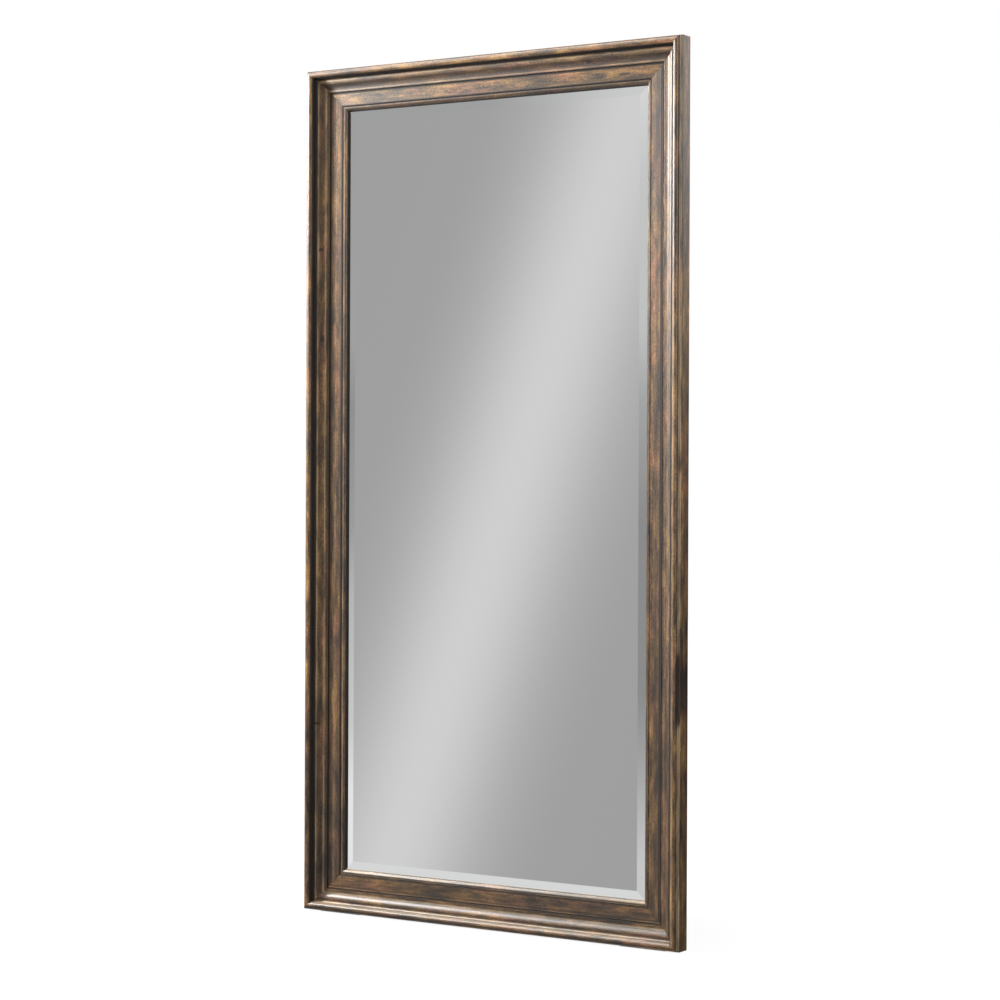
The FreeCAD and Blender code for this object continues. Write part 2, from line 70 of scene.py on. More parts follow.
# ---------------------------------------------------------------- shader expressions
class Tree:
    """A node tree with one way to add any node, and channels that carry arithmetic."""

    def __init__(self, tree: bpy.types.NodeTree) -> None:
        """Take over a tree and empty it.

        Args:
            tree: The material's or the world's node tree.
        """
        self.tree = tree
        self.tree.nodes.clear()

    def add(self, kind: str, settings: dict | None = None, sockets: dict | None = None) -> bpy.types.Node:
        """Add one node.

        Args:
            kind: The node's type name.
            settings: Its properties, set first.
            sockets: Values or links of its inputs, by name or number.

        Returns:
            The new node.
        """
        node = self.tree.nodes.new(kind)
        for name, value in (settings or {}).items():
            setattr(node, name, value)
        for name, value in (sockets or {}).items():
            if isinstance(value, Channel):
                value = value.socket
            if isinstance(value, bpy.types.NodeSocket):
                self.tree.links.new(value, node.inputs[name])
            else:
                node.inputs[name].default_value = value
        return node

    def channel(self, output: str | int, kind: str, settings: dict, sockets: dict) -> "Channel":
        """Add one node and read one of its outputs.

        Args:
            output: The output's name or number.
            kind: The node's type name.
            settings: Its properties.
            sockets: Values or links of its inputs.

        Returns:
            The output.
        """
        return Channel(self, self.add(kind, settings, sockets).outputs[output])

    def split(self, place: bpy.types.NodeSocket) -> tuple:
        """The X, Y and Z channels of coordinates."""
        axes = self.add("ShaderNodeSeparateXYZ", {}, {"Vector": place}).outputs
        return tuple(Channel(self, axes[axis]) for axis in "XYZ")

    def ramp(self, value: "Channel", stops: list) -> "Channel":
        """Read a colour ramp at a value.

        Args:
            value: Where to read, 0 to 1.
            stops: (place, linear grey or colour) pairs in rising order.

        Returns:
            The ramp's colour.
        """
        node = self.add("ShaderNodeValToRGB", {}, {"Fac": value})
        elements = node.color_ramp.elements
        while len(elements) < len(stops):
            elements.new(1.0)
        for element, (place, colour) in zip(elements, stops):
            element.position = place
            element.color = (*(colour if isinstance(colour, tuple) else (colour,) * 3), 1.0)
        return Channel(self, node.outputs["Color"])

    def mix(self, share: "Channel", low: object, high: object) -> "Channel":
        """Mix two colours.

        Args:
            share: How much of the second, 0 to 1.
            low: First colour, as values or a channel.
            high: Second colour.

        Returns:
            The mixed colour.
        """
        low, high = ((*colour, 1.0) if isinstance(colour, tuple) else colour for colour in (low, high))
        return self.channel(2, "ShaderNodeMix", {"data_type": "RGBA"}, {"Factor": share, 6: low, 7: high})


@dataclass(frozen=True)
class Channel:
    """A socket that carries a number over the surface, with arithmetic that adds Math nodes."""

    tree: Tree
    socket: bpy.types.NodeSocket

    def _then(self, operation: str, *others: object, clamp: bool = False) -> "Channel":
        """Add a Math node that reads this channel and then the others.

        Args:
            operation: The node's operation.
            others: Channels or numbers.
            clamp: Whether the result is held to 0..1.

        Returns:
            The node's output.
        """
        settings = {"operation": operation, "use_clamp": clamp}
        return self.tree.channel(0, "ShaderNodeMath", settings, dict(enumerate((self, *others))))

    def _after(self, operation: str, number: float) -> "Channel":
        """Add a Math node that reads a number and then this channel."""
        return self.tree.channel(0, "ShaderNodeMath", {"operation": operation}, {0: number, 1: self})

    __add__ = partialmethod(_then, "ADD")
    __radd__ = partialmethod(_after, "ADD")
    __sub__ = partialmethod(_then, "SUBTRACT")
    __rsub__ = partialmethod(_after, "SUBTRACT")
    __mul__ = partialmethod(_then, "MULTIPLY")
    __rmul__ = partialmethod(_after, "MULTIPLY")
    __truediv__ = partialmethod(_then, "DIVIDE")
    absolute = partialmethod(_then, "ABSOLUTE")
    exponent = partialmethod(_then, "EXPONENT")
    at_least = partialmethod(_then, "MAXIMUM")
    to_and_fro = partialmethod(_then, "PINGPONG")
    held = partialmethod(_then, "ADD", 0.0, clamp=True)

    def rise(self, low: float, high: float) -> "Channel":
        """0 below low, 1 above high and smooth between; the other way round where low is above high.

        Args:
            low: Where the step starts.
            high: Where the step ends.

        Returns:
            The step.
        """
        first, last = (0.0, 1.0) if low < high else (1.0, 0.0)
        return self.tree.channel("Result", "ShaderNodeMapRange", {"interpolation_type": "SMOOTHSTEP"}, {
            "Value": self, "From Min": min(low, high), "From Max": max(low, high),
            "To Min": first, "To Max": last})


def linear(level: float) -> float:
    """The linear value of an 8-bit display level.

    Args:
        level: 0 to 255.

    Returns:
        The linear value, 0 to 1.
    """
    share = level / 255.0
    return share / 12.92 if share <= 0.04045 else ((share + 0.055) / 1.055) ** 2.4


def tone(red: float, green: float, blue: float) -> tuple:
    """A linear colour from 8-bit display levels."""
    return (linear(red), linear(green), linear(blue))


# ---------------------------------------------------------------- finishes
class Grain(Enum):
    """Which way a wood member's grain runs."""

    UPRIGHT = "upright"
    LEVEL = "level"


@dataclass(frozen=True)
class Noise:
    """A noise: features in each metre, octaves of finer detail, their strength, and distortion."""

    scale: float
    detail: float
    rough: float
    twist: float = 0.0


class MaterialTree(Tree):
    """The tree of a new material, with the Object coordinates that its patterns read."""

    def __init__(self, name: str) -> None:
        """Make the material.

        Args:
            name: The material's name.
        """
        self.material = bpy.data.materials.new(name)
        self.material.use_nodes = True
        super().__init__(self.material.node_tree)
        self.place = self.add("ShaderNodeTexCoord").outputs["Object"]
        self.x, self.y, self.z = self.split(self.place)

    def noise(self, look: Noise, scale: tuple | None = None, offset: tuple = (0.0, 0.0, 0.0)) -> Channel:
        """A noise value from 0 to 1.

        Args:
            look: The noise's settings.
            scale: Scale of the coordinates on each axis, for a pattern that is drawn out.
            offset: Their shift on each axis, after scaling.

        Returns:
            The noise.
        """
        place = self.place
        if scale is not None:
            drawn = {"Vector": place, "Scale": scale, "Location": offset}
            place = self.add("ShaderNodeMapping", {}, drawn).outputs["Vector"]
        return self.channel("Fac", "ShaderNodeTexNoise", {"normalize": True}, {
            "Vector": place, "Scale": look.scale, "Detail": look.detail, "Roughness": look.rough,
            "Distortion": look.twist})

    def inset(self, grain: Grain) -> Channel:
        """The section coordinate u of an upright or a level member, in millimetres.

        Args:
            grain: Which way the member runs.

        Returns:
            The distance from the frame's outer edge.
        """
        if grain is Grain.UPRIGHT:
            return (HALF_WIDTH - self.x.absolute()) / MM
        return (FRAME_HEIGHT / 2.0 - (self.z - MIDDLE_Z).absolute()) / MM

    def surface(self, sockets: dict, height: Channel | None = None,
                depth: float = 0.0) -> bpy.types.Material:
        """Finish with a Principled surface and an optional bump.

        Args:
            sockets: The Principled node's inputs.
            height: Height of the bump, 0 to 1.
            depth: How deep the bump is, in metres.

        Returns:
            The finished material.
        """
        if height is not None:
            bump = self.add("ShaderNodeBump", {}, {"Height": height, "Distance": depth, "Strength": 1.0})
            sockets = {**sockets, "Normal": bump.outputs["Normal"]}
        shader = self.add("ShaderNodeBsdfPrincipled", {}, sockets)
        self.add("ShaderNodeOutputMaterial", {}, {"Surface": shader.outputs["BSDF"]})
        return self.material


@dataclass(frozen=True)
class Mark:
    """A dent or a burn in the wood: an ellipse in X and Z, in metres."""

    x: float
    z: float
    wide: float
    high: float


@dataclass(frozen=True)
class Wear:
    """Where one side is marked, where it is darkened by glazing and painted shade, and where it is
    lightened by wear and painted highlights; lines are (u, half width, strength).
    """

    marks: tuple = ()
    # Darkening lines: dark glazing in the quirks and painted shade, such as the painted shadow that the
    # moulding casts on the flat band.
    glazed_and_shaded: tuple = ()
    # Lightening lines: worn arrises and painted highlights where the lamps catch the mouldings.
    rubbed_and_highlit: tuple = ()


class Figure(Enum):
    """A layer of the wood's figure: its number, its scale along the grain to that across, its noise."""

    BLOTCH = (0, 0.20, Noise(70.0, 3.0, 0.55, 0.2))
    STREAK = (1, 0.11, Noise(230.0, 4.0, 0.62, 0.1))
    CLOUD = (2, 0.40, Noise(9.0, 3.0, 0.5, 0.4))
    PORES = (3, 0.35, Noise(520.0, 2.0, 0.6))
    HUE = (4, 0.25, Noise(36.0, 3.0, 0.55, 0.4))
    BURN = (5, 0.28, Noise(30.0, 4.0, 0.60, 0.4))


@dataclass(frozen=True)
class WoodFinish:
    """Umber stain worn back to gold and red brown, dark glazing in the quirks with painted shade, worn
    arrises with painted highlights, painted shade towards the floor, dents, lacquer.
    """

    name: str
    grain: Grain
    seed: float
    wear: Wear
    depths: tuple = (0.38, 0.44, 0.50, 0.56, 0.64)
    golden: tuple = (tone(26, 20, 14), tone(50, 37, 22), tone(82, 60, 33), tone(116, 85, 45),
                     tone(158, 121, 70))
    ruddy: tuple = (tone(26, 19, 15), tone(50, 35, 24), tone(84, 57, 37), tone(118, 79, 50),
                    tone(158, 115, 80))
    hue_ends: tuple = (0.46, 0.62)
    # Colour of the worn arrises and of the painted highlights.
    rub_and_highlight_tone: tuple = tone(152, 138, 116)
    rub_and_highlight_ends: tuple = (0.40, 0.58)
    burn_tone: tuple = tone(32, 26, 21)
    burn_ends: tuple = (0.56, 0.72)
    burn_share: float = 0.62
    # Colour and strength of the dark glazing and of the painted shade.
    glaze_and_shade_tone: tuple = tone(20, 15, 12)
    glaze_and_shade_level: float = 0.35
    glaze_and_shade_share: float = 0.95
    # Painted shade: the low part of every member is darkened, for less light near the floor.
    low_shade_tone: tuple = tone(24, 18, 13)
    low_shade_heights: tuple = (1.05, 0.25)
    low_shade_share: float = 0.24
    dent_tone: tuple = tone(24, 17, 13)
    dent_share: float = 0.85
    pin_cells: float = 70.0
    pin_ends: tuple = (0.15, 0.07)
    pin_lot: tuple = (0.88, 0.92)
    mark_ends: tuple = (1.5, 1.0)
    front_ends: tuple = (17.0 * MM, 14.0 * MM)
    gloss: float = 0.38
    coat: float = 0.30
    coat_lost: float = 0.28
    coat_rough: float = 0.36
    index: float = 1.40
    relief: float = 0.22 * MM

    def make(self) -> bpy.types.Material:
        """Build the material.

        Returns:
            The material.
        """
        tree = MaterialTree(self.name)
        inset = tree.inset(self.grain)
        front = tree.y.rise(*self.front_ends)
        blotch = self._layer(tree, Figure.BLOTCH)
        streak = self._layer(tree, Figure.STREAK)
        pores = self._layer(tree, Figure.PORES)
        depth = 0.34 * blotch + 0.19 * streak + 0.20 * self._layer(tree, Figure.CLOUD) + 0.27 * pores
        golden = tree.ramp(depth, list(zip(self.depths, self.golden)))
        ruddy = tree.ramp(depth, list(zip(self.depths, self.ruddy)))
        colour = tree.mix(self._layer(tree, Figure.HUE).rise(*self.hue_ends), golden, ruddy)
        # Worn arrises and painted highlights: lighter lines along the member's front.
        rubbed_and_highlit = self._lines(inset, self.wear.rubbed_and_highlit) * front * (0.55 + 0.45 * blotch.rise(*self.rub_and_highlight_ends))
        colour = tree.mix(rubbed_and_highlit, colour, self.rub_and_highlight_tone)
        burn = self._layer(tree, Figure.BURN).rise(*self.burn_ends)
        colour = tree.mix(burn * self.burn_share, colour, self.burn_tone)
        # Dark glazing and painted shade: darker lines along the member's front, in the hollows and where
        # shadow falls.
        glaze_and_shade = self._lines(inset, self.wear.glazed_and_shaded, self.glaze_and_shade_level) * front * (0.75 + 0.5 * blotch)
        glaze_and_shade = glaze_and_shade.held()
        colour = tree.mix(glaze_and_shade * self.glaze_and_shade_share, colour, self.glaze_and_shade_tone)
        # Painted shade: darker towards the floor.
        colour = tree.mix(tree.z.rise(*self.low_shade_heights) * self.low_shade_share, colour, self.low_shade_tone)
        dents = self._dents(tree, blotch)
        colour = tree.mix(dents * self.dent_share, colour, self.dent_tone)
        rough = self.gloss + 0.20 * streak + 0.25 * glaze_and_shade
        height = 0.30 * streak + 0.20 * pores + 0.45 * blotch - 1.2 * dents
        return tree.surface({
            "Base Color": colour, "Roughness": rough.held(), "IOR": self.index,
            "Coat Weight": self.coat - self.coat_lost * glaze_and_shade, "Coat Roughness": self.coat_rough},
            height, self.relief)

    def _layer(self, tree: MaterialTree, figure: Figure) -> Channel:
        """One layer of the figure, drawn out along the grain.

        Args:
            tree: The material's tree.
            figure: Which layer.

        Returns:
            The noise, 0 to 1.
        """
        number, stretch, noise = figure.value
        run = (1.0, 1.0, stretch) if self.grain is Grain.UPRIGHT else (stretch, 1.0, 1.0)
        start = self.seed + 1.7 * number
        return tree.noise(noise, run, (start, 0.37 * start, 0.71 * start))

    @staticmethod
    def _lines(inset: Channel, lines: tuple, level_share: float = 0.0) -> Channel:
        """Lines that run along the member.

        Args:
            inset: The section coordinate u, in millimetres.
            lines: (u, half width, strength) of each line.
            level_share: How much of a line's half width has its full strength.

        Returns:
            The lines, 0 to 1.
        """
        total = inset * 0.0
        for middle, half, strength in lines:
            total = total + (inset - middle).absolute().rise(half, level_share * half) * strength
        return total.held()

    def _dents(self, tree: MaterialTree, ragged: Channel) -> Channel:
        """Pin holes all over, and the larger marks.

        Args:
            tree: The material's tree.
            ragged: Noise that breaks the marks' edges.

        Returns:
            The dents, 0 to 1.
        """
        spots = {"Vector": tree.place, "Scale": self.pin_cells}
        cells = tree.add("ShaderNodeTexVoronoi", {"feature": "F1"}, spots).outputs
        lot = tree.channel("Red", "ShaderNodeSeparateColor", {}, {"Color": cells["Color"]})
        dents = Channel(tree, cells["Distance"]).rise(*self.pin_ends) * lot.rise(*self.pin_lot)
        for mark in self.wear.marks:
            off_x = (tree.x - mark.x) / mark.wide
            off_z = (tree.z - mark.z) / mark.high
            dents = dents + (off_x * off_x + off_z * off_z + ragged).rise(*self.mark_ends)
        return dents.held()


@dataclass(frozen=True)
class MottledFinish:
    """A matt material of two close tones with a fine grain, for rubber, foam, paint and bare wood."""

    name: str
    low: tuple
    high: tuple
    rough: float
    scale: float = 300.0
    stretch: tuple = (1.0, 1.0, 1.0)
    depth: float = 0.05 * MM
    cloud_scale: float = 0.05
    dust_scale: float = 0.3
    dust_share: float = 0.12
    dust_tone: tuple = tone(206, 200, 190)

    def make(self) -> bpy.types.Material:
        """Build the material.

        Returns:
            The material.
        """
        tree = MaterialTree(self.name)
        grain = tree.noise(Noise(self.scale, 4.0, 0.6), self.stretch)
        cloud = tree.noise(Noise(self.scale * self.cloud_scale, 3.0, 0.5))
        dust = tree.noise(Noise(self.scale * self.dust_scale, 2.0, 0.5)).rise(0.60, 0.75)
        colour = tree.mix((0.6 * grain + 0.4 * cloud).rise(0.35, 0.65), self.low, self.high)
        colour = tree.mix(dust * self.dust_share, colour, self.dust_tone)
        rough = self.rough + 0.3 * (grain - 0.5)
        return tree.surface({"Base Color": colour, "Roughness": rough.held()}, grain, self.depth)


@dataclass(frozen=True)
class PlatedSteel:
    """Zinc plated steel: cloudy crystals, a faint yellow and blue cast, and rub marks."""

    name: str = "zinc_plate"
    yellow: tuple = tone(178, 175, 160)
    blue: tuple = tone(168, 175, 184)
    dull: tuple = tone(136, 136, 136)
    rub_stretch: tuple = (1.0, 1.0, 0.05)
    rub_start: tuple = (0.3, 0.0, 0.7)
    rough: float = 0.34
    depth: float = 0.02 * MM

    def make(self) -> bpy.types.Material:
        """Build the material.

        Returns:
            The material.
        """
        tree = MaterialTree(self.name)
        cast = tree.noise(Noise(45.0, 3.0, 0.6, 0.4))
        crystal = tree.noise(Noise(700.0, 3.0, 0.6))
        rubs = tree.noise(Noise(900.0, 2.0, 0.5), self.rub_stretch, self.rub_start)
        colour = tree.mix(cast.rise(0.38, 0.62), self.yellow, self.blue)
        colour = tree.mix(crystal * 0.35, colour, self.dull)
        rough = self.rough + 0.16 * crystal + 0.14 * rubs.rise(0.5, 0.7)
        return tree.surface({"Base Color": colour, "Metallic": 1.0, "Roughness": rough.held()},
                            0.6 * crystal + 0.4 * rubs, self.depth)


@dataclass(frozen=True)
class Hardboard:
    """Brown hardboard that shows its fibres and the fine canvas mark of its rough side."""

    name: str = "hardboard"
    low: tuple = tone(100, 71, 48)
    high: tuple = tone(136, 101, 70)
    canvas_tone: tuple = tone(66, 46, 32)
    fleck_tone: tuple = tone(58, 40, 28)
    canvas: float = 1.1 * MM
    depth: float = 0.15 * MM

    def make(self) -> bpy.types.Material:
        """Build the material.

        Returns:
            The material.
        """
        tree = MaterialTree(self.name)
        across, upwards = (axis.to_and_fro(self.canvas) / self.canvas for axis in (tree.x, tree.z))
        canvas = across * upwards
        fibre = tree.noise(Noise(420.0, 5.0, 0.7, 1.2))
        cloud = tree.noise(Noise(5.0, 3.0, 0.5))
        fleck = tree.noise(Noise(160.0, 3.0, 0.7, 2.0)).rise(0.60, 0.72)
        colour = tree.mix((0.8 * fibre + 0.2 * cloud).rise(0.34, 0.66), self.low, self.high)
        colour = tree.mix(canvas * 0.35, colour, self.canvas_tone)
        colour = tree.mix(fleck * 0.5, colour, self.fleck_tone)
        return tree.surface({"Base Color": colour, "Roughness": (0.62 + 0.2 * fibre).held()},
                            0.6 * canvas + 0.4 * fibre, self.depth)


@dataclass(frozen=True)
class SilveredGlass:
    """The mirror's front: silvered glass, a trace greener where the bevel makes the glass thinner."""

    name: str = "silvered_glass"
    bevel_tone: tuple = tone(251, 253, 252)
    flat_tone: tuple = tone(253, 253, 253)
    bevel_ends: tuple = (BEVEL_U - 0.3, BEVEL_U + 0.3)

    def make(self) -> bpy.types.Material:
        """Build the material.

        Returns:
            The material.
        """
        tree = MaterialTree(self.name)
        in_x, in_z = (tree.inset(grain).rise(*self.bevel_ends) for grain in Grain)
        haze = tree.noise(Noise(6.0, 3.0, 0.5))
        colour = tree.mix(in_x * in_z, self.bevel_tone, self.flat_tone)
        rough = 0.004 + 0.006 * haze
        return tree.surface({"Base Color": colour, "Metallic": 1.0, "Roughness": rough.held()})


# ---------------------------------------------------------------- drawing and shaping
class Side(Enum):
    """One side of the frame."""

    LEFT = "left"
    RIGHT = "right"
    TOP = "top"
    BOTTOM = "bottom"

    @property
    def grain(self) -> Grain:
        """Which way the side's grain runs."""
        return Grain.UPRIGHT if self in (Side.LEFT, Side.RIGHT) else Grain.LEVEL

    @property
    def length(self) -> float:
        """Length of the side's outer edge."""
        return FRAME_HEIGHT if self.grain is Grain.UPRIGHT else WIDTH

    @property
    def board(self) -> str:
        """The side's name as a frame member."""
        return self.value + ("_stile" if self.grain is Grain.UPRIGHT else "_rail")

    @property
    def placing(self) -> Matrix:
        """Takes a member drawn as (u, d, along) in metres to its place in the frame."""
        depth = (0, 1, 0, -MIDDLE_D * MM)
        along_x, along_z = (0, 0, 1, -HALF_WIDTH), (0, 0, 1, SOLE_THICK)
        rows = {
            Side.LEFT: ((1, 0, 0, -HALF_WIDTH), depth, along_z),
            Side.RIGHT: ((-1, 0, 0, HALF_WIDTH), depth, along_z),
            Side.BOTTOM: (along_x, depth, (1, 0, 0, SOLE_THICK)),
            Side.TOP: (along_x, depth, (-1, 0, 0, HEIGHT)),
        }[self]
        return Matrix((*rows, (0, 0, 0, 1)))


class Pick(Enum):
    """What edit mode selects: points, edges or faces."""

    POINTS = (True, False, False)
    EDGES = (False, True, False)
    FACES = (False, False, True)


def deselect_all() -> None:
    """Deselect every object."""
    bpy.ops.object.select_all(action="DESELECT")


def select_only(*pieces: bpy.types.Object) -> None:
    """Select some objects and nothing else, the first of them active."""
    deselect_all()
    bpy.context.view_layer.objects.active = pieces[0]
    for piece in pieces:
        piece.select_set(True)


def edit(piece: bpy.types.Object, pick: Pick = Pick.POINTS) -> None:
    """Go into edit mode on one object.

    Args:
        piece: The object to edit.
        pick: What is selected there.
    """
    select_only(piece)
    bpy.context.tool_settings.mesh_select_mode = pick.value
    bpy.ops.object.mode_set(mode="EDIT")


def select_whole() -> None:
    """Select the whole mesh in edit mode."""
    bpy.ops.mesh.select_all(action="SELECT")


def extrude(step: tuple) -> None:
    """Extrude what is selected by a step."""
    bpy.ops.mesh.extrude_region_move(TRANSFORM_OT_translate={"value": step})


def leave_edit() -> None:
    """Back to object mode."""
    bpy.ops.object.mode_set(mode="OBJECT")


def apply_all(piece: bpy.types.Object) -> None:
    """Apply every modifier of one object in order."""
    select_only(piece)
    for modifier in list(piece.modifiers):
        bpy.ops.object.modifier_apply(modifier=modifier.name)


def face_outwards(piece: bpy.types.Object) -> None:
    """Merge doubles and turn every face outwards."""
    edit(piece)
    select_whole()
    bpy.ops.mesh.remove_doubles(threshold=DOUBLES)
    bpy.ops.mesh.normals_make_consistent(inside=False)
    leave_edit()


def smooth(piece: bpy.types.Object, degrees: float = SMOOTH_DEGREES) -> None:
    """Shade smooth, but keep edges sharper than an angle."""
    select_only(piece)
    bpy.ops.object.shade_smooth_by_angle(angle=math.radians(degrees))


def dress(piece: bpy.types.Object, material: bpy.types.Material) -> None:
    """Give an object one material."""
    piece.data.materials.clear()
    piece.data.materials.append(material)


def linked(name: str, data: bpy.types.ID) -> bpy.types.Object:
    """A new object, linked into the scene.

    Args:
        name: Its name.
        data: Its mesh, camera or light.

    Returns:
        The object.
    """
    thing = bpy.data.objects.new(name, data)
    bpy.context.scene.collection.objects.link(thing)
    return thing


def lone_point(name: str, x: float, y: float, size: float) -> bpy.types.Object:
    """A new object of one point at Z = 0, which is selected in edit mode.

    Args:
        name: The object's name.
        x: The point's X.
        y: The point's Y.
        size: Width of the square that is merged to the point.

    Returns:
        The object.
    """
    deselect_all()
    bpy.ops.mesh.primitive_plane_add(size=size, location=(x, y, 0.0))
    piece = bpy.context.object
    piece.name = name
    bpy.ops.object.transform_apply(location=True)
    edit(piece)
    select_whole()
    bpy.ops.mesh.merge(type="CENTER")
    select_whole()
    return piece


def on_circle(u: float, d: float, radius: float, degrees: float) -> tuple:
    """A point on a section circle. 0 degrees points to the mirror and 90 to the back.

    Args:
        u: The circle's centre.
        d: The circle's centre.
        radius: Its radius.
        degrees: Where on the circle.

    Returns:
        The point (u, d).
    """
    angle = math.radians(degrees)
    return (u + radius * math.cos(angle), d + radius * math.sin(angle))


class SectionPen:
    """Draws a closed section in millimetres with extrude and spin, then runs it to a length."""

    STEP_DEGREES = 9.0
    SAME_POINT = 0.01
    SEAM = 0.005 * MM

    def __init__(self, name: str, u: float, d: float) -> None:
        """Start at one point.

        Args:
            name: The new object's name.
            u: Start, from the outer edge.
            d: Start, from the front.
        """
        self.piece = lone_point(name, u * MM, d * MM, 1.0 * MM)
        self.here = (u, d)

    def line(self, u: float, d: float, parts: int = 1) -> None:
        """Draw a straight stretch.

        Args:
            u: Its end.
            d: Its end.
            parts: How many edges it is cut into.
        """
        step = Vector((u - self.here[0], d - self.here[1], 0.0)) * (MM / parts)
        for _ in range(parts):
            extrude(step)
        self.here = (u, d)

    def arc(self, u: float, d: float, radius: float, first: float, last: float) -> None:
        """Draw a straight stretch to a circle, and then round it.

        Args:
            u: The circle's centre.
            d: The circle's centre.
            radius: Its radius.
            first: The angle where the arc starts.
            last: The angle where it ends.
        """
        start = on_circle(u, d, radius, first)
        if math.dist(start, self.here) > self.SAME_POINT:
            self.line(*start)
        steps = max(2, math.ceil(abs(last - first) / self.STEP_DEGREES))
        bpy.ops.mesh.spin(steps=steps, angle=math.radians(first - last),
                          center=(u * MM, d * MM, 0.0), axis=(0.0, 0.0, 1.0))
        self.here = on_circle(u, d, radius, last)

    def run(self, length: float, spacing: float) -> bpy.types.Object:
        """Close the section, run it along its third axis and cut the run into short stretches.

        Args:
            length: How far it runs, in metres.
            spacing: Distance between the cuts, in metres.

        Returns:
            The closed solid.
        """
        select_whole()
        bpy.ops.mesh.remove_doubles(threshold=self.SEAM)
        bpy.ops.mesh.edge_face_add()
        extrude((0.0, 0.0, length))
        bpy.ops.mesh.select_all(action="DESELECT")
        leave_edit()
        mesh = self.piece.data
        for edge in mesh.edges:
            low, high = (mesh.vertices[i].co.z for i in edge.vertices)
            edge.select = abs(high - low) > length / 2.0
        edit(self.piece, Pick.EDGES)
        bpy.ops.mesh.subdivide(number_cuts=max(1, round(length / spacing) - 1))
        leave_edit()
        return self.piece


class WirePen:
    """Draws a tube: a ring of points that is pushed straight and swung round bends."""

    def __init__(self, name: str, start: tuple, radius: float, points: int) -> None:
        """Start with a ring that faces +X.

        Args:
            name: The new object's name.
            start: The ring's middle.
            radius: The tube's radius.
            points: How many points the ring has.
        """
        deselect_all()
        bpy.ops.mesh.primitive_circle_add(vertices=points, radius=radius, location=start,
                                          rotation=(0.0, math.radians(90.0), 0.0))
        self.piece = bpy.context.object
        self.piece.name = name
        bpy.ops.object.transform_apply(location=True, rotation=True)
        edit(self.piece)
        select_whole()

    @staticmethod
    def swing(centre: tuple, degrees: float, steps: int) -> None:
        """Swing the ring about an axis along Y, from +X towards -Z.

        Args:
            centre: A point on the axis.
            degrees: How far.
            steps: How many stretches the bend gets.
        """
        bpy.ops.mesh.spin(steps=steps, angle=-math.radians(degrees), center=centre, axis=(0.0, 1.0, 0.0))

    def close(self) -> bpy.types.Object:
        """Join the tube's end to its start.

        Returns:
            The closed tube.
        """
        leave_edit()
        face_outwards(self.piece)
        return self.piece


def turned(name: str, outline: list, steps: int) -> bpy.types.Object:
    """Turn an outline about the Y axis, as on a lathe.

    Args:
        name: The new object's name.
        outline: (along Y, radius) points in metres, from one end to the other or right round.
        steps: How many stretches the round gets.

    Returns:
        The closed piece, about the origin.
    """
    first_y, first_r = outline[0]
    piece = lone_point(name, first_r, first_y, 0.1 * MM)
    for (here_y, here_r), (y, r) in zip(outline, outline[1:]):
        extrude((r - here_r, y - here_y, 0.0))
    select_whole()
    bpy.ops.mesh.spin(steps=steps, angle=math.radians(360.0), center=(0.0, 0.0, 0.0), axis=(0.0, 1.0, 0.0))
    leave_edit()
    face_outwards(piece)
    return piece


def rounded_edges(piece: bpy.types.Object, width: float) -> None:
    """Round a piece's sharp edges.

    Args:
        piece: The piece.
        width: How wide the rounding is.
    """
    modifier = piece.modifiers.new("rounding", "BEVEL")
    modifier.limit_method = "ANGLE"
    modifier.angle_limit = math.radians(EDGE_DEGREES)
    modifier.width = width
    modifier.segments = 2
    apply_all(piece)


def softened_copy(node: str, width: float, degrees: float) -> bpy.types.Object:
    """A copy of a CAD node with its doubles merged, its flats cleaned and its edges rounded.

    Args:
        node: The node's name.
        width: How wide the rounding is.
        degrees: The sharpest angle that is shaded smooth.

    Returns:
        The new piece, which stands for the node.
    """
    piece = linked(node + "_worked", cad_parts[node].data.copy())
    edit(piece)
    select_whole()
    bpy.ops.mesh.remove_doubles(threshold=DOUBLES)
    bpy.ops.mesh.dissolve_limited(angle_limit=math.radians(1.0))
    leave_edit()
    rounded_edges(piece, width)
    smooth(piece, degrees)
    return piece


def copied_to(pattern: bpy.types.Object, name: str, seats: list) -> bpy.types.Object:
    """Copies of one pattern at many seats, each with its own mesh, gathered as one piece.

    Args:
        pattern: The pattern, about the origin; it is used up.
        name: The new piece's name.
        seats: (place, degrees turned about Y) of each copy.

    Returns:
        The gathered piece.
    """
    copies = []
    for place, degrees in seats:
        one = linked(name, pattern.data.copy())
        one.data.transform(Matrix.Translation(place) @ Matrix.Rotation(math.radians(degrees), 4, "Y"))
        copies.append(one)
    bpy.data.objects.remove(pattern)
    select_only(*copies)
    if len(copies) > 1:
        bpy.ops.object.join()
    copies[0].name = name
    smooth(copies[0])
    return copies[0]


def stand_for(piece: bpy.types.Object, node: str, body: str,
              material: bpy.types.Material) -> None:
    """Dress a new piece and put it in a CAD node's place.

    Args:
        piece: The new piece.
        node: The node that it replaces.
        body: The body that it rides on.
        material: Its finish.
    """
    dress(piece, material)
    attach(piece, body)
    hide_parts(node)
    log.info("built %s, %d faces", piece.name, len(piece.data.polygons))


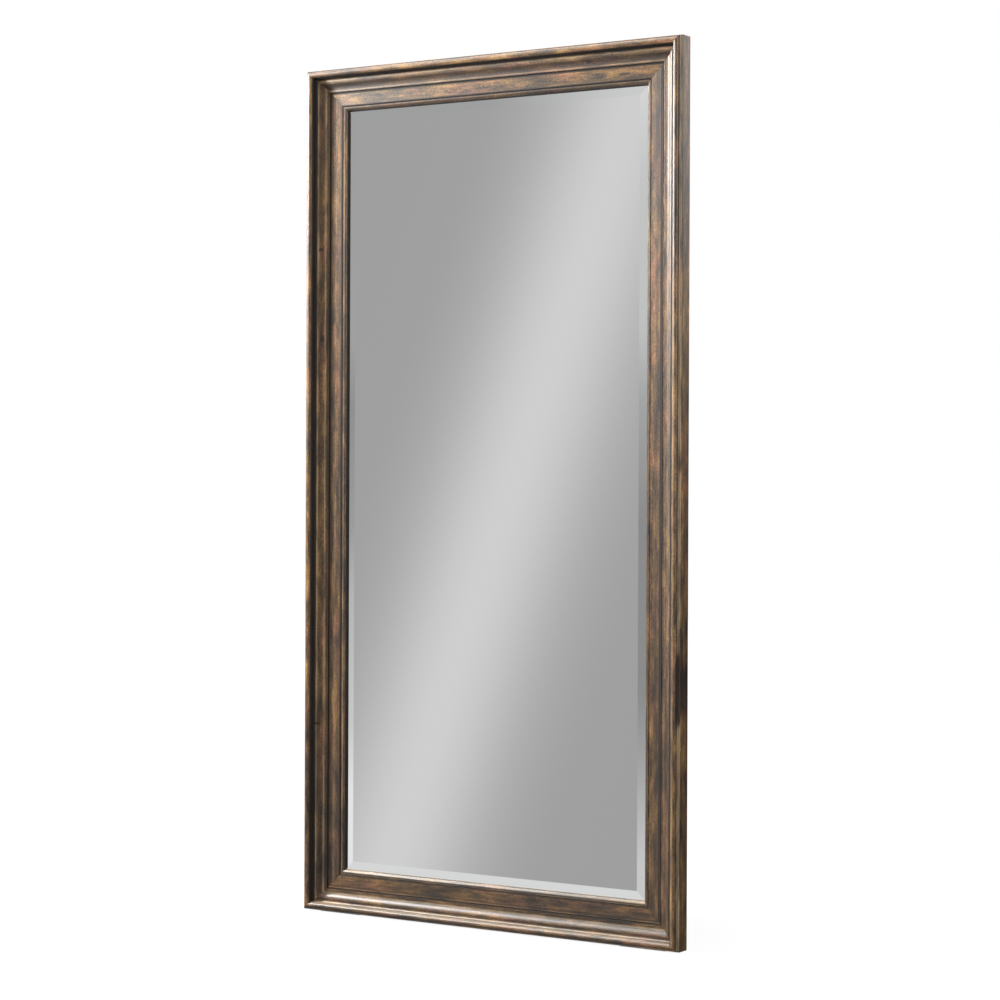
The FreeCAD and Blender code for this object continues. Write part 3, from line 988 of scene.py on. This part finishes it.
# ---------------------------------------------------------------- the wood frame
@dataclass
class WoodMember:
    """One mitred member of the frame: drawn section, run, mitres, unevenness and finish."""

    side: Side
    spacing: float = 7.0 * MM
    seam: float = 0.06 * MM
    wave: tuple = (0.070, 0.35 * MM)
    ripple: tuple = (0.018, 0.12 * MM)
    slot: str = "moulding_wood"

    def name(self) -> str:
        """The member's node name."""
        raise NotImplementedError

    def draw(self) -> SectionPen:
        """Draw the member's section."""
        raise NotImplementedError

    def is_worked(self, u: float, d: float) -> bool:
        """Whether a point of the section lies on the face that shows and wears."""
        raise NotImplementedError

    def build(self, finish: bpy.types.Material) -> None:
        """Build and dress the member.

        Args:
            finish: Its wood material.
        """
        piece = self.draw().run(self.side.length, self.spacing)
        self._mitre(piece)
        worked = piece.vertex_groups.new(name="worked")
        faces = [v.index for v in piece.data.vertices if self.is_worked(v.co.x / MM, v.co.y / MM)]
        worked.add(faces, 1.0, "REPLACE")
        piece.data.transform(self.side.placing)
        face_outwards(piece)
        self._weather(piece, "wave", *self.wave)
        self._weather(piece, "ripple", *self.ripple)
        smooth(piece)
        stand_for(piece, self.name(), BODY, finish)

    def _mitre(self, piece: bpy.types.Object) -> None:
        """Cut both ends at 45 degrees, a hair short of the neighbour."""
        for end, turn in ((self.seam, -1.0), (self.side.length - self.seam, 1.0)):
            edit(piece)
            select_whole()
            bpy.ops.mesh.bisect(plane_co=(0.0, 0.0, end), plane_no=(1.0, 0.0, turn),
                                use_fill=True, clear_outer=True)
            leave_edit()

    @staticmethod
    def _weather(piece: bpy.types.Object, name: str, size: float, strength: float) -> None:
        """Make the worked face uneven by one noise.

        Args:
            piece: The member.
            name: The noise's name.
            size: Size of its features.
            strength: How far it moves the face.
        """
        texture = bpy.data.textures.new(piece.name + "_" + name, "CLOUDS")
        texture.noise_scale = size
        modifier = piece.modifiers.new(name, "DISPLACE")
        modifier.texture = texture
        modifier.texture_coords = "LOCAL"
        modifier.strength = strength
        modifier.mid_level = 1.0
        modifier.vertex_group = "worked"
        apply_all(piece)


@dataclass
class FrameBoard(WoodMember):
    """Frame board: flat band between two quirks, plain side, and the rabbet for the backing board."""

    slot: str = "frame_wood"
    seat_end_u: float = 56.6
    flat: tuple = (58.2, 23.7)
    flat_end: tuple = (90.8, 26.8)
    edge_r: float = 1.2
    chamfer: float = 1.5
    ledge: tuple = (80.0, 43.4)

    def name(self) -> str:
        """The member's node name."""
        return self.side.board

    def draw(self) -> SectionPen:
        """Draw the board's section.

        Returns:
            The pen, back at its start.
        """
        pen = SectionPen(self.name() + "_wood", 0.0, SEAT_D)
        pen.line(self.seat_end_u, SEAT_D)
        pen.line(*self.flat)
        pen.line(*self.flat_end, parts=8)
        pen.arc(self.flat_end[0], self.flat_end[1] + self.edge_r, self.edge_r, 270.0, 360.0)
        pen.line(BOARD_U, self.ledge[1])
        pen.line(*self.ledge)
        pen.line(self.ledge[0], BACK_D)
        pen.line(self.chamfer, BACK_D, parts=4)
        pen.line(0.0, BACK_D - self.chamfer)
        pen.line(0.0, SEAT_D, parts=3)
        return pen

    def is_worked(self, u: float, d: float) -> bool:
        """Whether a point lies on the flat band."""
        return self.flat[0] + 1.0 < u < BOARD_U - 0.5 and d < self.flat_end[1] + 0.5


@dataclass
class OuterMoulding(WoodMember):
    """Outer moulding: plain side, quirk, bead, fillet, scotia, ogee and lip."""

    side_arris_d: float = 9.8
    side_arris_r: float = 0.9
    bead: tuple = (11.0, 2.0, 9.5)
    bead_turn: tuple = (26.0, 18.0)
    fillet: tuple = (21.5, 5.3)
    least_fillet: float = 0.2
    ogee: tuple = (26.9, 13.7)
    lip: tuple = (49.2, 22.3)
    lip_end_u: float = 54.4
    lip_r: float = 1.6
    scotia_sag: float = 3.4

    def name(self) -> str:
        """The member's node name."""
        return "outer_moulding_" + self.side.value

    def draw(self) -> SectionPen:
        """Draw the moulding's section.

        Returns:
            The pen, back at its start.
        """
        outer, inner = self.bead_turn
        rise = self.lip[1] - self.ogee[1]
        reach = self.lip[0] - self.ogee[0]
        turn = 2.0 * math.degrees(math.atan2(rise, reach))
        radius = reach / (2.0 * math.sin(math.radians(turn)))
        pen = SectionPen(self.name() + "_wood", 0.0, SEAT_D)
        pen.line(0.0, self.side_arris_d, parts=2)
        pen.arc(self.side_arris_r, self.side_arris_d, self.side_arris_r, 180.0, 270.0)
        pen.arc(*self.bead, 180.0 - outer, 360.0 + inner)
        pen.line(self.fillet[0], max(self.fillet[1], pen.here[1] + self.least_fillet))
        self._hollow(pen)
        pen.arc(self.ogee[0], self.ogee[1] + radius, radius, 270.0, 270.0 + turn)
        pen.arc(self.lip[0], self.lip[1] - radius, radius, 90.0 + turn, 90.0)
        pen.line(self.lip_end_u, self.lip[1])
        pen.arc(self.lip_end_u, self.lip[1] + self.lip_r, self.lip_r, 270.0, 360.0)
        pen.line(self.lip_end_u + self.lip_r, SEAT_D)
        pen.line(0.0, SEAT_D)
        return pen

    def _hollow(self, pen: SectionPen) -> None:
        """Draw the scotia from the fillet to the ogee's arris."""
        chord = Vector(self.ogee) - Vector(pen.here)
        span = chord.length
        radius = (span * span / 4.0 + self.scotia_sag ** 2) / (2.0 * self.scotia_sag)
        across = Vector((-chord.y, chord.x)) / span
        centre = (Vector(pen.here) + Vector(self.ogee)) / 2.0 + across * (self.scotia_sag - radius)
        first, last = (math.degrees(math.atan2(end[1] - centre.y, end[0] - centre.x))
                       for end in (pen.here, self.ogee))
        if last > first:
            last -= 360.0
        pen.arc(centre.x, centre.y, radius, first, last)

    def is_worked(self, u: float, d: float) -> bool:
        """Whether a point lies on the moulded face."""
        return u > 0.4 and d < self.lip[1] + 0.5


@dataclass
class SightBead(WoodMember):
    """Sight bead: a quarter round that laps the edge of the mirror plate."""

    bead: tuple = (94.4, 38.0, 10.8)
    shoulder_r: float = 1.5
    shoulder_drop: float = 2.0
    end_d: float = 36.9
    glass_u: float = 95.0
    glass_face_d: float = 35.0
    glass_edge_d: float = 38.6
    gap: float = 0.15
    wave: tuple = (0.070, 0.25 * MM)

    def name(self) -> str:
        """The member's node name."""
        return "sight_bead_" + self.side.value

    def draw(self) -> SectionPen:
        """Draw the bead's section.

        Returns:
            The pen, back at its start.
        """
        bead_u, bead_d, bead_r = self.bead
        slope = (self.glass_edge_d - self.glass_face_d) / (BEVEL_U - self.glass_u)
        end_degrees = -math.degrees(math.asin((bead_d - self.end_d) / bead_r))
        tip_u = on_circle(bead_u, bead_d, bead_r, end_degrees)[0]
        crest_d = bead_d - bead_r
        under_d = self.glass_edge_d - self.gap
        pen = SectionPen(self.name() + "_wood", BOARD_U, under_d)
        pen.line(BOARD_U, crest_d + self.shoulder_drop)
        pen.line(bead_u - self.shoulder_r, crest_d + self.shoulder_r)
        pen.arc(bead_u, crest_d + self.shoulder_r, self.shoulder_r, 180.0, 270.0)
        pen.arc(bead_u, bead_d, bead_r, -90.0, end_degrees)
        pen.line(tip_u, under_d - slope * (tip_u - self.glass_u))
        pen.line(self.glass_u, under_d)
        pen.line(BOARD_U, under_d)
        return pen

    def is_worked(self, u: float, d: float) -> bool:
        """Whether a point lies on the bead's round."""
        return u > BOARD_U + 0.6 and d < self.end_d - 0.5


@dataclass
class WoodFrame:
    """The twelve wood members that show, and how each side has worn, with its painted shade and painted
    highlights.
    """

    # Each side's darkening lines hold painted shade as well as dark glazing, and its lightening lines hold
    # painted highlights as well as worn arrises.
    left: Wear = Wear(
        (Mark(-0.497, 1.435, 0.006, 0.008), Mark(-0.470, 1.55, 0.0015, 0.006),
         Mark(-0.500, 1.66, 0.007, 0.005), Mark(-0.505, 0.47, 0.010, 0.004)),
        ((20.5, 4.0, 1.0), (35.0, 6.0, 0.45), (51.5, 4.4, 0.6), (57.2, 3.6, 1.0), (62.0, 6.0, 0.5),
         (85.5, 6.0, 0.3), (91.4, 4.8, 1.0), (104.6, 2.8, 1.0)),
        ((1.2, 1.6, 0.5), (25.8, 3.0, 0.9), (43.8, 2.4, 0.6), (73.5, 4.5, 0.25), (97.4, 2.2, 0.4)))
    right: Wear = Wear(
        (Mark(0.527, 1.700, 0.004, 0.012), Mark(0.523, 1.640, 0.002, 0.006),
         Mark(0.4880, 1.30, 0.0012, 0.004), Mark(0.531, 0.60, 0.004, 0.10)),
        ((29.8, 3.4, 1.0), (20.5, 5.6, 0.9), (57.6, 2.4, 0.7), (62.2, 4.4, 0.95), (72.0, 8.0, 0.35),
         (42.0, 6.0, 0.15), (92.0, 1.8, 0.6), (98.4, 3.0, 0.75), (104.6, 2.6, 1.0), (3.6, 1.4, 0.5)),
        ((1.4, 1.5, 1.0), (12.4, 3.0, 0.35), (50.0, 3.0, 0.3)))
    top: Wear = Wear(
        (Mark(-0.332, 2.039, 0.011, 0.0022), Mark(-0.325, 2.0365, 0.006, 0.0012),
         Mark(0.370, 2.0325, 0.019, 0.0030), Mark(0.277, 2.067, 0.009, 0.0045),
         Mark(-0.0215, 2.035, 0.003, 0.0015), Mark(0.300, 2.036, 0.004, 0.0018),
         Mark(-0.250, 2.030, 0.004, 0.0012)),
        ((20.8, 4.2, 1.0), (38.5, 8.0, 0.7), (47.0, 5.0, 0.6), (57.6, 5.0, 1.0), (91.8, 4.4, 1.0),
         (99.6, 4.4, 0.6), (104.6, 2.6, 1.0), (2.8, 2.2, 0.4)),
        ((27.0, 2.6, 0.6), (51.4, 2.6, 0.3), (9.6, 3.0, 0.2)))
    bottom: Wear = Wear(
        (),
        ((8.6, 3.8, 0.6), (55.6, 2.8, 1.0), (63.0, 3.2, 0.6), (91.0, 2.6, 0.9), (97.0, 2.2, 0.8),
         (28.4, 2.6, 0.5), (75.0, 14.0, 0.22)),
        ((2.6, 2.0, 0.5), (20.8, 2.4, 0.7), (44.6, 3.6, 0.7), (58.0, 1.6, 0.3), (94.0, 1.8, 0.4),
         (103.0, 2.6, 0.6)))

    def build(self) -> None:
        """Build and dress every member."""
        wears = {Side.LEFT: self.left, Side.RIGHT: self.right, Side.TOP: self.top, Side.BOTTOM: self.bottom}
        for number, (side, wear) in enumerate(wears.items()):
            wood = WoodFinish("stained_wood_" + side.value, side.grain, 3.1 * number + 1.0, wear).make()
            for kind in (FrameBoard, OuterMoulding, SightBead):
                kind(side).build(wood)


# ---------------------------------------------------------------- mirror plate and backing
@dataclass
class MirrorAndBacking:
    """The bevelled plate, and what lies round and behind it inside the frame."""

    edge_rounding: float = 0.25 * MM
    smooth_degrees: float = 2.0
    facing: float = 0.5

    def build(self) -> None:
        """Build the plate, and dress the hidden pieces and the backing board."""
        self._plate()
        foam = MottledFinish("foam", tone(214, 217, 222), tone(240, 241, 243), 0.85, 620.0, depth=0.12 * MM)
        block = MottledFinish("black_rubber_block", tone(26, 26, 26), tone(44, 43, 42), 0.75, 900.0).make()
        beech = MottledFinish("bare_beech", tone(186, 146, 106), tone(216, 182, 142), 0.6, 420.0,
                              (1.0, 0.2, 0.2), 0.08 * MM)
        finishes = {"foam_sheet": foam.make(), "setting_blocks": block, "edge_shims": block,
                    "mitre_tenons": beech.make(), "backing_board": Hardboard().make()}
        for name, material in finishes.items():
            dress(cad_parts[name], material)
            log.info("dressed %s", name)

    def _plate(self) -> None:
        """The plate: silvered in front, painted grey behind, bare glass at its edges."""
        piece = softened_copy("mirror_plate", self.edge_rounding, self.smooth_degrees)
        stand_for(piece, "mirror_plate", BODY, SilveredGlass().make())
        edge = MottledFinish("glass_edge", tone(96, 132, 120), tone(132, 164, 152), 0.3, 90.0)
        paint = MottledFinish("backing_paint", tone(92, 98, 104), tone(112, 117, 122), 0.5, 260.0)
        piece.data.materials.append(edge.make())
        piece.data.materials.append(paint.make())
        for face in piece.data.polygons:
            if face.normal.y > self.facing:
                face.material_index = 2
            elif face.normal.y > -self.facing:
                face.material_index = 1


# ---------------------------------------------------------------- hardware
@dataclass
class WoodScrew:
    """A pan head wood screw with a cross recess; its middle is the point under its head."""

    shank: float
    head: float
    high: float
    length: float
    steps: int = 24
    dome_steps: int = 4
    rim_high: float = 0.35
    flat_top: float = 0.5
    arm_width: float = 0.26
    arm_reach: float = 0.42
    core_reach: float = 0.2
    sink: float = 0.35
    taper: float = 0.45

    def pattern(self) -> bpy.types.Object:
        """Model one screw about the origin, with its head towards +Y.

        Returns:
            The screw.
        """
        outline = [(self.high, 0.0)]
        for step in range(self.dome_steps + 1):
            turn = math.radians(90.0 * step / self.dome_steps)
            along = self.high * (self.rim_high + (1.0 - self.rim_high) * math.cos(turn))
            outline.append((along, self.head * (self.flat_top + (1.0 - self.flat_top) * math.sin(turn))))
        outline += [(0.0, self.head), (0.0, self.shank), (2.0 * self.shank - self.length, self.shank),
                    (-self.length, 0.0)]
        screw = turned("screw_pattern", outline, self.steps)
        cutter = self._recess()
        modifier = screw.modifiers.new("recess", "BOOLEAN")
        modifier.operation = "DIFFERENCE"
        modifier.solver = "EXACT"
        modifier.object = cutter
        apply_all(screw)
        bpy.data.objects.remove(cutter)
        return screw

    def _recess(self) -> bpy.types.Object:
        """The cross-shaped cutter: a plus drawn on the head and tapered to its tip.

        Returns:
            The cutter.
        """
        deselect_all()
        top = self.high + 0.1 * MM
        bpy.ops.mesh.primitive_cube_add(size=self.arm_width * self.head, location=(0.0, top, 0.0))
        cutter = bpy.context.object
        bpy.ops.object.transform_apply(location=True)
        for axis in (0, 2):
            for way in (1.0, -1.0):
                edit(cutter, Pick.FACES)
                bpy.ops.mesh.select_all(action="DESELECT")
                leave_edit()
                for face in cutter.data.polygons:
                    near = abs(face.center[axis]) < self.core_reach * self.head
                    face.select = face.normal[axis] * way > 0.9 and near
                edit(cutter, Pick.FACES)
                step = [0.0, 0.0, 0.0]
                step[axis] = self.arm_reach * self.head * way
                extrude(step)
                leave_edit()
        lowest = min(v.co.y for v in cutter.data.vertices)
        for face in cutter.data.polygons:
            face.select = abs(face.center.y - lowest) < 0.01 * MM
        edit(cutter, Pick.FACES)
        bpy.ops.transform.translate(value=(0.0, -self.sink * self.high, 0.0))
        bpy.ops.transform.resize(value=(self.taper, 1.0, self.taper), center_override=(0.0, lowest, 0.0))
        leave_edit()
        return cutter


@dataclass
class Hardware:
    """Everything screwed to the back and under the frame."""

    plate_thick: float = 2.0 * MM
    plate_holes: tuple = (36.0 * MM, 84.0 * MM)
    plate_u: float = 32.0 * MM
    plate_width: float = 20.0 * MM
    plate_rounding: float = 0.35 * MM
    hanger_u: float = 42.0 * MM
    hanger_z: float = 1.700
    strap_metal: float = 1.0 * MM
    strap_holes: tuple = (28.0 * MM, 50.0 * MM)
    strap_rounding: float = 0.25 * MM
    wire_r: float = 2.0 * MM
    wire_play: float = 0.05 * MM
    wire_points: int = 20
    ring_inner_r: float = 11.0 * MM
    ring_leg: float = 4.0 * MM
    ring_bend: float = 3.0 * MM
    ring_lean: float = 5.0
    bumper_u: float = 16.0 * MM
    bumper_inset: float = 45.0 * MM
    bumper_r: float = 10.0 * MM
    bumper_thick: float = 8.0 * MM
    bumper_bore: float = 1.85 * MM
    bumper_rounding: float = 0.4 * MM
    recess_r: float = 4.4 * MM
    recess_floor: float = 3.0 * MM
    foot_length: float = 120.0 * MM
    foot_inset: float = 40.0 * MM
    foot_rounding: float = 0.6 * MM
    heel_screw_z: float = 14.0 * MM
    heel_screw_inset: float = 20.0 * MM
    backing_u: float = 86.5 * MM
    backing_off: float = 46.8 * MM - 47.0 * MM
    flat_degrees: float = 25.0
    screw_turn: float = 37.0

    def build(self) -> None:
        """Build every fitting and its screws."""
        steel = PlatedSteel().make()
        rubber = MottledFinish("black_rubber", tone(24, 24, 24), tone(42, 42, 41), 0.70, 1100.0).make()
        for corner in ("bottom_left", "bottom_right", "top_left", "top_right"):
            self._soften("corner_plate_" + corner, self.plate_rounding, steel)
        for side, word in ((-1, "left"), (1, "right")):
            self._soften("hanger_strap_" + word, self.strap_rounding, steel)
            stand_for(self._d_ring(side, word), "hanger_ring_" + word, "ring_" + word, steel)
            stand_for(self._bumper(side, word), "wall_bumper_" + word, BODY, rubber)
            self._soften("floor_foot_" + word, self.foot_rounding, rubber)
        self._screws(steel)

    def _soften(self, node: str, width: float, material: bpy.types.Material) -> None:
        """Put a softened and dressed copy in a CAD node's place.

        Args:
            node: The node's name.
            width: How wide its edges are rounded.
            material: Its finish.
        """
        stand_for(softened_copy(node, width, self.flat_degrees), node, BODY, material)

    @staticmethod
    def _back(x: float, z: float, off: float = 0.0) -> Vector:
        """A point on the back of the frame, or a little behind it."""
        return Vector((x, BACK_D * MM + off - MIDDLE_D * MM, z))

    def _d_ring(self, side: int, word: str) -> bpy.types.Object:
        """A D ring: a straight bar, two bends, two short legs and a half round.

        Args:
            side: -1 for the left, 1 for the right.
            word: The side's name.

        Returns:
            The ring, at rest in its strap.
        """
        wire, leg, bend = self.wire_r, self.ring_leg, self.ring_bend
        bar = self.ring_inner_r + wire - bend
        pen = WirePen("hanger_ring_" + word + "_wire", (-bar, 0.0, 0.0), wire, self.wire_points)
        extrude((2.0 * bar, 0.0, 0.0))
        pen.swing((bar, 0.0, -bend), 90.0, 6)
        extrude((0.0, 0.0, bend - leg))
        pen.swing((0.0, 0.0, -leg), 180.0, 28)
        extrude((0.0, 0.0, leg - bend))
        pen.swing((-bar, 0.0, -bend), 90.0, 6)
        ring = pen.close()
        off = self.strap_metal + wire + self.wire_play
        pivot = self._back(side * (HALF_WIDTH - self.hanger_u), self.hanger_z, off)
        lean = Matrix.Rotation(math.radians(self.ring_lean), 4, "X")
        ring.data.transform(Matrix.Translation(pivot) @ lean)
        smooth(ring)
        return ring

    def _bumper(self, side: int, word: str) -> bpy.types.Object:
        """A tapered rubber bumper with a recess for its screw.

        Args:
            side: -1 for the left, 1 for the right.
            word: The side's name.

        Returns:
            The bumper.
        """
        thick, radius, bore = self.bumper_thick, self.bumper_r, self.bumper_bore
        outline = [(0.0, bore), (0.0, radius), (thick - 1.5 * MM, radius - 1.0 * MM),
                   (thick, radius - 2.5 * MM), (thick, self.recess_r),
                   (self.recess_floor, self.recess_r), (self.recess_floor, bore), (0.0, bore)]
        bumper = turned("bumper_pattern", outline, 48)
        rounded_edges(bumper, self.bumper_rounding)
        foot = self._back(side * (HALF_WIDTH - self.bumper_u), HEIGHT - self.bumper_inset)
        return copied_to(bumper, "wall_bumper_" + word + "_round", [(foot, 0.0)])

    def _screws(self, steel: bpy.types.Material) -> None:
        """Every screw, by the node that it belongs to.

        Args:
            steel: Their finish.
        """
        plate = WoodScrew(2.0 * MM, 4.0 * MM, 2.0 * MM, 16.0 * MM)
        stout = WoodScrew(1.8 * MM, 3.6 * MM, 1.8 * MM, 18.0 * MM)
        small = WoodScrew(1.6 * MM, 3.3 * MM, 1.7 * MM, 12.0 * MM)
        hanger_x, bumper_x = HALF_WIDTH - self.hanger_u, HALF_WIDTH - self.bumper_u
        hangers = [self._back(side * hanger_x, self.hanger_z - drop, 2.0 * self.strap_metal)
                   for side in (-1, 1) for drop in self.strap_holes]
        bumpers = [self._back(side * bumper_x, HEIGHT - self.bumper_inset, self.recess_floor)
                   for side in (-1, 1)]
        sets = {"corner_plate_screws": (plate, self._corner_seats()), "hanger_screws": (plate, hangers),
                "bumper_screws": (stout, bumpers), "foot_screws": (stout, self._heel_seats()),
                "backing_screws": (small, self._backing_seats())}
        for node, (screw, seats) in sets.items():
            turned_seats = [(seat, self.screw_turn * number) for number, seat in enumerate(seats)]
            piece = copied_to(screw.pattern(), node + "_cross", turned_seats)
            stand_for(piece, node, BODY, steel)

    def _corner_seats(self) -> list:
        """Seats of the corner plates' screws, two on each arm."""
        middle = self.plate_u + self.plate_width / 2.0
        spots = [pair for reach in self.plate_holes
                 for pair in ((self.plate_u + reach, middle), (middle, self.plate_u + reach))]
        return [self._back(side * (HALF_WIDTH - in_x), SOLE_THICK + in_z if low else HEIGHT - in_z,
                           self.plate_thick)
                for low in (True, False) for side in (-1, 1) for in_x, in_z in spots]

    def _heel_seats(self) -> list:
        """Seats of the screws through the rubber heels."""
        outer = HALF_WIDTH - self.foot_inset
        spots = (outer - self.heel_screw_inset, outer - self.foot_length + self.heel_screw_inset)
        return [self._back(side * spot, self.heel_screw_z, self.recess_floor)
                for side in (-1, 1) for spot in spots]

    def _backing_seats(self) -> list:
        """Seats of the screws round the backing board, evenly spaced along each side."""
        u, off = self.backing_u, self.backing_off
        seats = [self._back(share * (HALF_WIDTH - 1.5 * u), z, off)
                 for z in (HEIGHT - u, SOLE_THICK + u) for share in (-1.0, 0.0, 1.0)]
        middle = (SOLE_THICK + HEIGHT) / 2.0
        reach = middle - SOLE_THICK - 2.5 * u
        seats += [self._back(side * (HALF_WIDTH - u), middle + share * reach, off)
                  for side in (-1, 1) for share in (-1.0, -0.5, 0.0, 0.5, 1.0)]
        return seats


# ---------------------------------------------------------------- studio
@dataclass(frozen=True)
class Lamp:
    """A softbox: where it stands, what it is aimed at, its width and height, and its watts."""

    name: str
    place: tuple
    target: tuple
    wide: float
    high: float
    power: float

    def build(self) -> None:
        """Add the lamp."""
        light = bpy.data.lights.new(self.name, "AREA")
        light.shape = "RECTANGLE"
        light.size = self.wide
        light.size_y = self.high
        light.energy = self.power
        aim = Vector(self.target) - Vector(self.place)
        turn = aim.to_track_quat("-Z", "Y").to_matrix().to_4x4()
        linked(self.name, light).matrix_world = Matrix.Translation(self.place) @ turn


@dataclass
class Studio:
    """Plain pale floor, soft lamps, the room that polished surfaces see, and the camera."""

    camera_place: tuple = (3.348, -5.184, 1.098)
    camera_turn: float = 32.61
    camera_roll: float = 0.238
    lens: float = 92.2
    sensor: float = 36.0
    shift_y: float = -0.0259
    lamps: tuple = (
        Lamp("left_softbox", (-2.40, -1.05, 2.45), (-0.2, 0.0, 1.8), 0.40, 0.9, 245.0),
        Lamp("overhead_softbox", (-2.20, -1.90, 6.00), (0.0, 0.0, 0.6), 3.4, 1.4, 330.0),
        Lamp("front_softbox", (-4.20, -7.00, 6.60), (0.0, 0.0, 1.4), 4.0, 2.4, 130.0),
        Lamp("back_softbox", (1.60, 5.00, 3.30), (0.0, 0.0, 1.1), 2.6, 2.6, 110.0),
        Lamp("fill_softbox", (3.4, -2.2, 2.4), (0.2, 0.0, 1.2), 0.5, 1.5, 105.0))
    floor_size: float = 24.0
    floor_grey: float = 0.50
    floor_glow: float = 1.08
    soft_light: float = 0.23
    wall_level: float = 160.0
    band_level: float = 208.0
    band_place: float = 0.6313
    band_slope: float = 0.375
    band_width: float = 0.0314
    near_levels: tuple = ((0.34, 201), (0.38, 166), (0.41, 141), (0.48, 140), (0.53, 166), (0.56, 194),
                          (0.62, 198), (0.66, 216))
    far_levels: tuple = ((0.31, 230), (0.35, 202), (0.43, 181), (0.47, 156), (0.54, 145), (0.58, 162),
                         (0.66, 160))
    floor_level: float = 216.0
    ceiling_level: float = 205.0
    dark_level: float = 70.0

    def build(self) -> None:
        """Build the floor, the lamps, the world and the camera."""
        self._camera()
        self._floor()
        self._world()
        for lamp in self.lamps:
            lamp.build()
        bpy.context.scene.view_settings.view_transform = "Standard"

    def _camera(self) -> None:
        """Set the camera of the photograph."""
        lens = bpy.data.cameras.new("camera")
        lens.sensor_width = self.sensor
        lens.lens = self.lens
        lens.shift_y = self.shift_y
        lens.clip_end = 60.0
        camera = linked("camera", lens)
        upright = Matrix.Rotation(math.radians(90.0), 4, "X")
        level = Matrix.Rotation(math.radians(self.camera_turn), 4, "Z") @ upright
        roll = Matrix.Rotation(math.radians(self.camera_roll), 4, "Z")
        camera.matrix_world = Matrix.Translation(self.camera_place) @ level @ roll
        bpy.context.scene.camera = camera

    def _floor(self) -> None:
        """A wide pale floor that keeps the object's shadow."""
        deselect_all()
        bpy.ops.mesh.primitive_plane_add(size=self.floor_size, location=(0.0, 0.0, 0.0))
        floor = bpy.context.object
        floor.name = "floor"
        tree = MaterialTree("pale_floor")
        rays = tree.add("ShaderNodeLightPath").outputs
        matt = tree.add("ShaderNodeBsdfDiffuse", {}, {"Color": (*(self.floor_grey,) * 3, 1.0)})
        glow = tree.add("ShaderNodeEmission", {}, {"Strength": self.floor_glow})
        clear = tree.add("ShaderNodeBsdfTransparent")
        away = tree.channel("Value", "ShaderNodeVectorMath", {"operation": "LENGTH"}, {0: tree.place})
        seen = Channel(tree, rays["Is Camera Ray"]) * (0.86 + 0.14 * away.rise(0.4, 1.1))
        lit = tree.add("ShaderNodeMixShader", {}, {0: seen, 1: matt.outputs[0], 2: glow.outputs[0]})
        ends = {0: rays["Is Glossy Ray"], 1: lit.outputs[0], 2: clear.outputs[0]}
        whole = tree.add("ShaderNodeMixShader", {}, ends)
        tree.add("ShaderNodeOutputMaterial", {}, {"Surface": whole.outputs[0]})
        dress(floor, tree.material)

    def _world(self) -> None:
        """White to the camera, a soft grey room to polished surfaces, and soft light for the rest."""
        world = bpy.data.worlds.new("studio")
        bpy.context.scene.world = world
        world.use_nodes = True
        tree = Tree(world.node_tree)
        rays = tree.add("ShaderNodeLightPath").outputs
        x, y, z = tree.split(tree.add("ShaderNodeTexCoord").outputs["Generated"])
        ahead = (0.0 - y).at_least(0.02)
        room = self._room(tree, x.absolute() / ahead, z / ahead)
        room = tree.mix(x.rise(-0.05, 0.25), room, (linear(self.dark_level),) * 3)
        camera_ray = Channel(tree, rays["Is Camera Ray"]) + rays["Is Transmission Ray"]
        colour = tree.mix(rays["Is Glossy Ray"], (self.soft_light,) * 3, room)
        colour = tree.mix(camera_ray.held(), colour, (1.0, 1.0, 1.0))
        background = tree.add("ShaderNodeBackground", {}, {"Color": colour, "Strength": 1.0})
        tree.add("ShaderNodeOutputWorld", {}, {"Surface": background.outputs[0]})

    def _room(self, tree: Tree, aside: Channel, up: Channel) -> Channel:
        """The room as a polished surface sees it.

        Args:
            tree: The world's tree.
            aside: Sideways slope of the direction, either way.
            up: Upward slope of the direction.

        Returns:
            Its grey level, linear.
        """
        grey = linear(self.wall_level)
        off = (aside + self.band_slope * up - self.band_place) / self.band_width
        band = (-0.5 * off * off).exponent()
        middle = grey + (linear(self.band_level) - grey) * band
        height = (up + 0.5).held()
        near, far = (tree.ramp(height, [(place, linear(level)) for place, level in levels])
                     for levels in (self.near_levels, self.far_levels))
        level = tree.mix(aside.rise(0.50, 0.42), middle, near)
        level = tree.mix(aside.rise(0.84, 0.96), level, far)
        level = tree.mix(up.rise(-0.27, -0.33), level, (linear(self.floor_level),) * 3)
        ceiling = up.rise(0.27, 0.33) * aside.rise(0.70, 0.60)
        return tree.mix(ceiling, level, (linear(self.ceiling_level),) * 3)


def main() -> None:
    """Build the studio and every piece, and report them."""
    logging.basicConfig(level=logging.INFO, format="%(name)s: %(message)s")
    Studio().build()
    WoodFrame().build()
    MirrorAndBacking().build()
    Hardware().build()


if __name__ == "__main__":
    main()
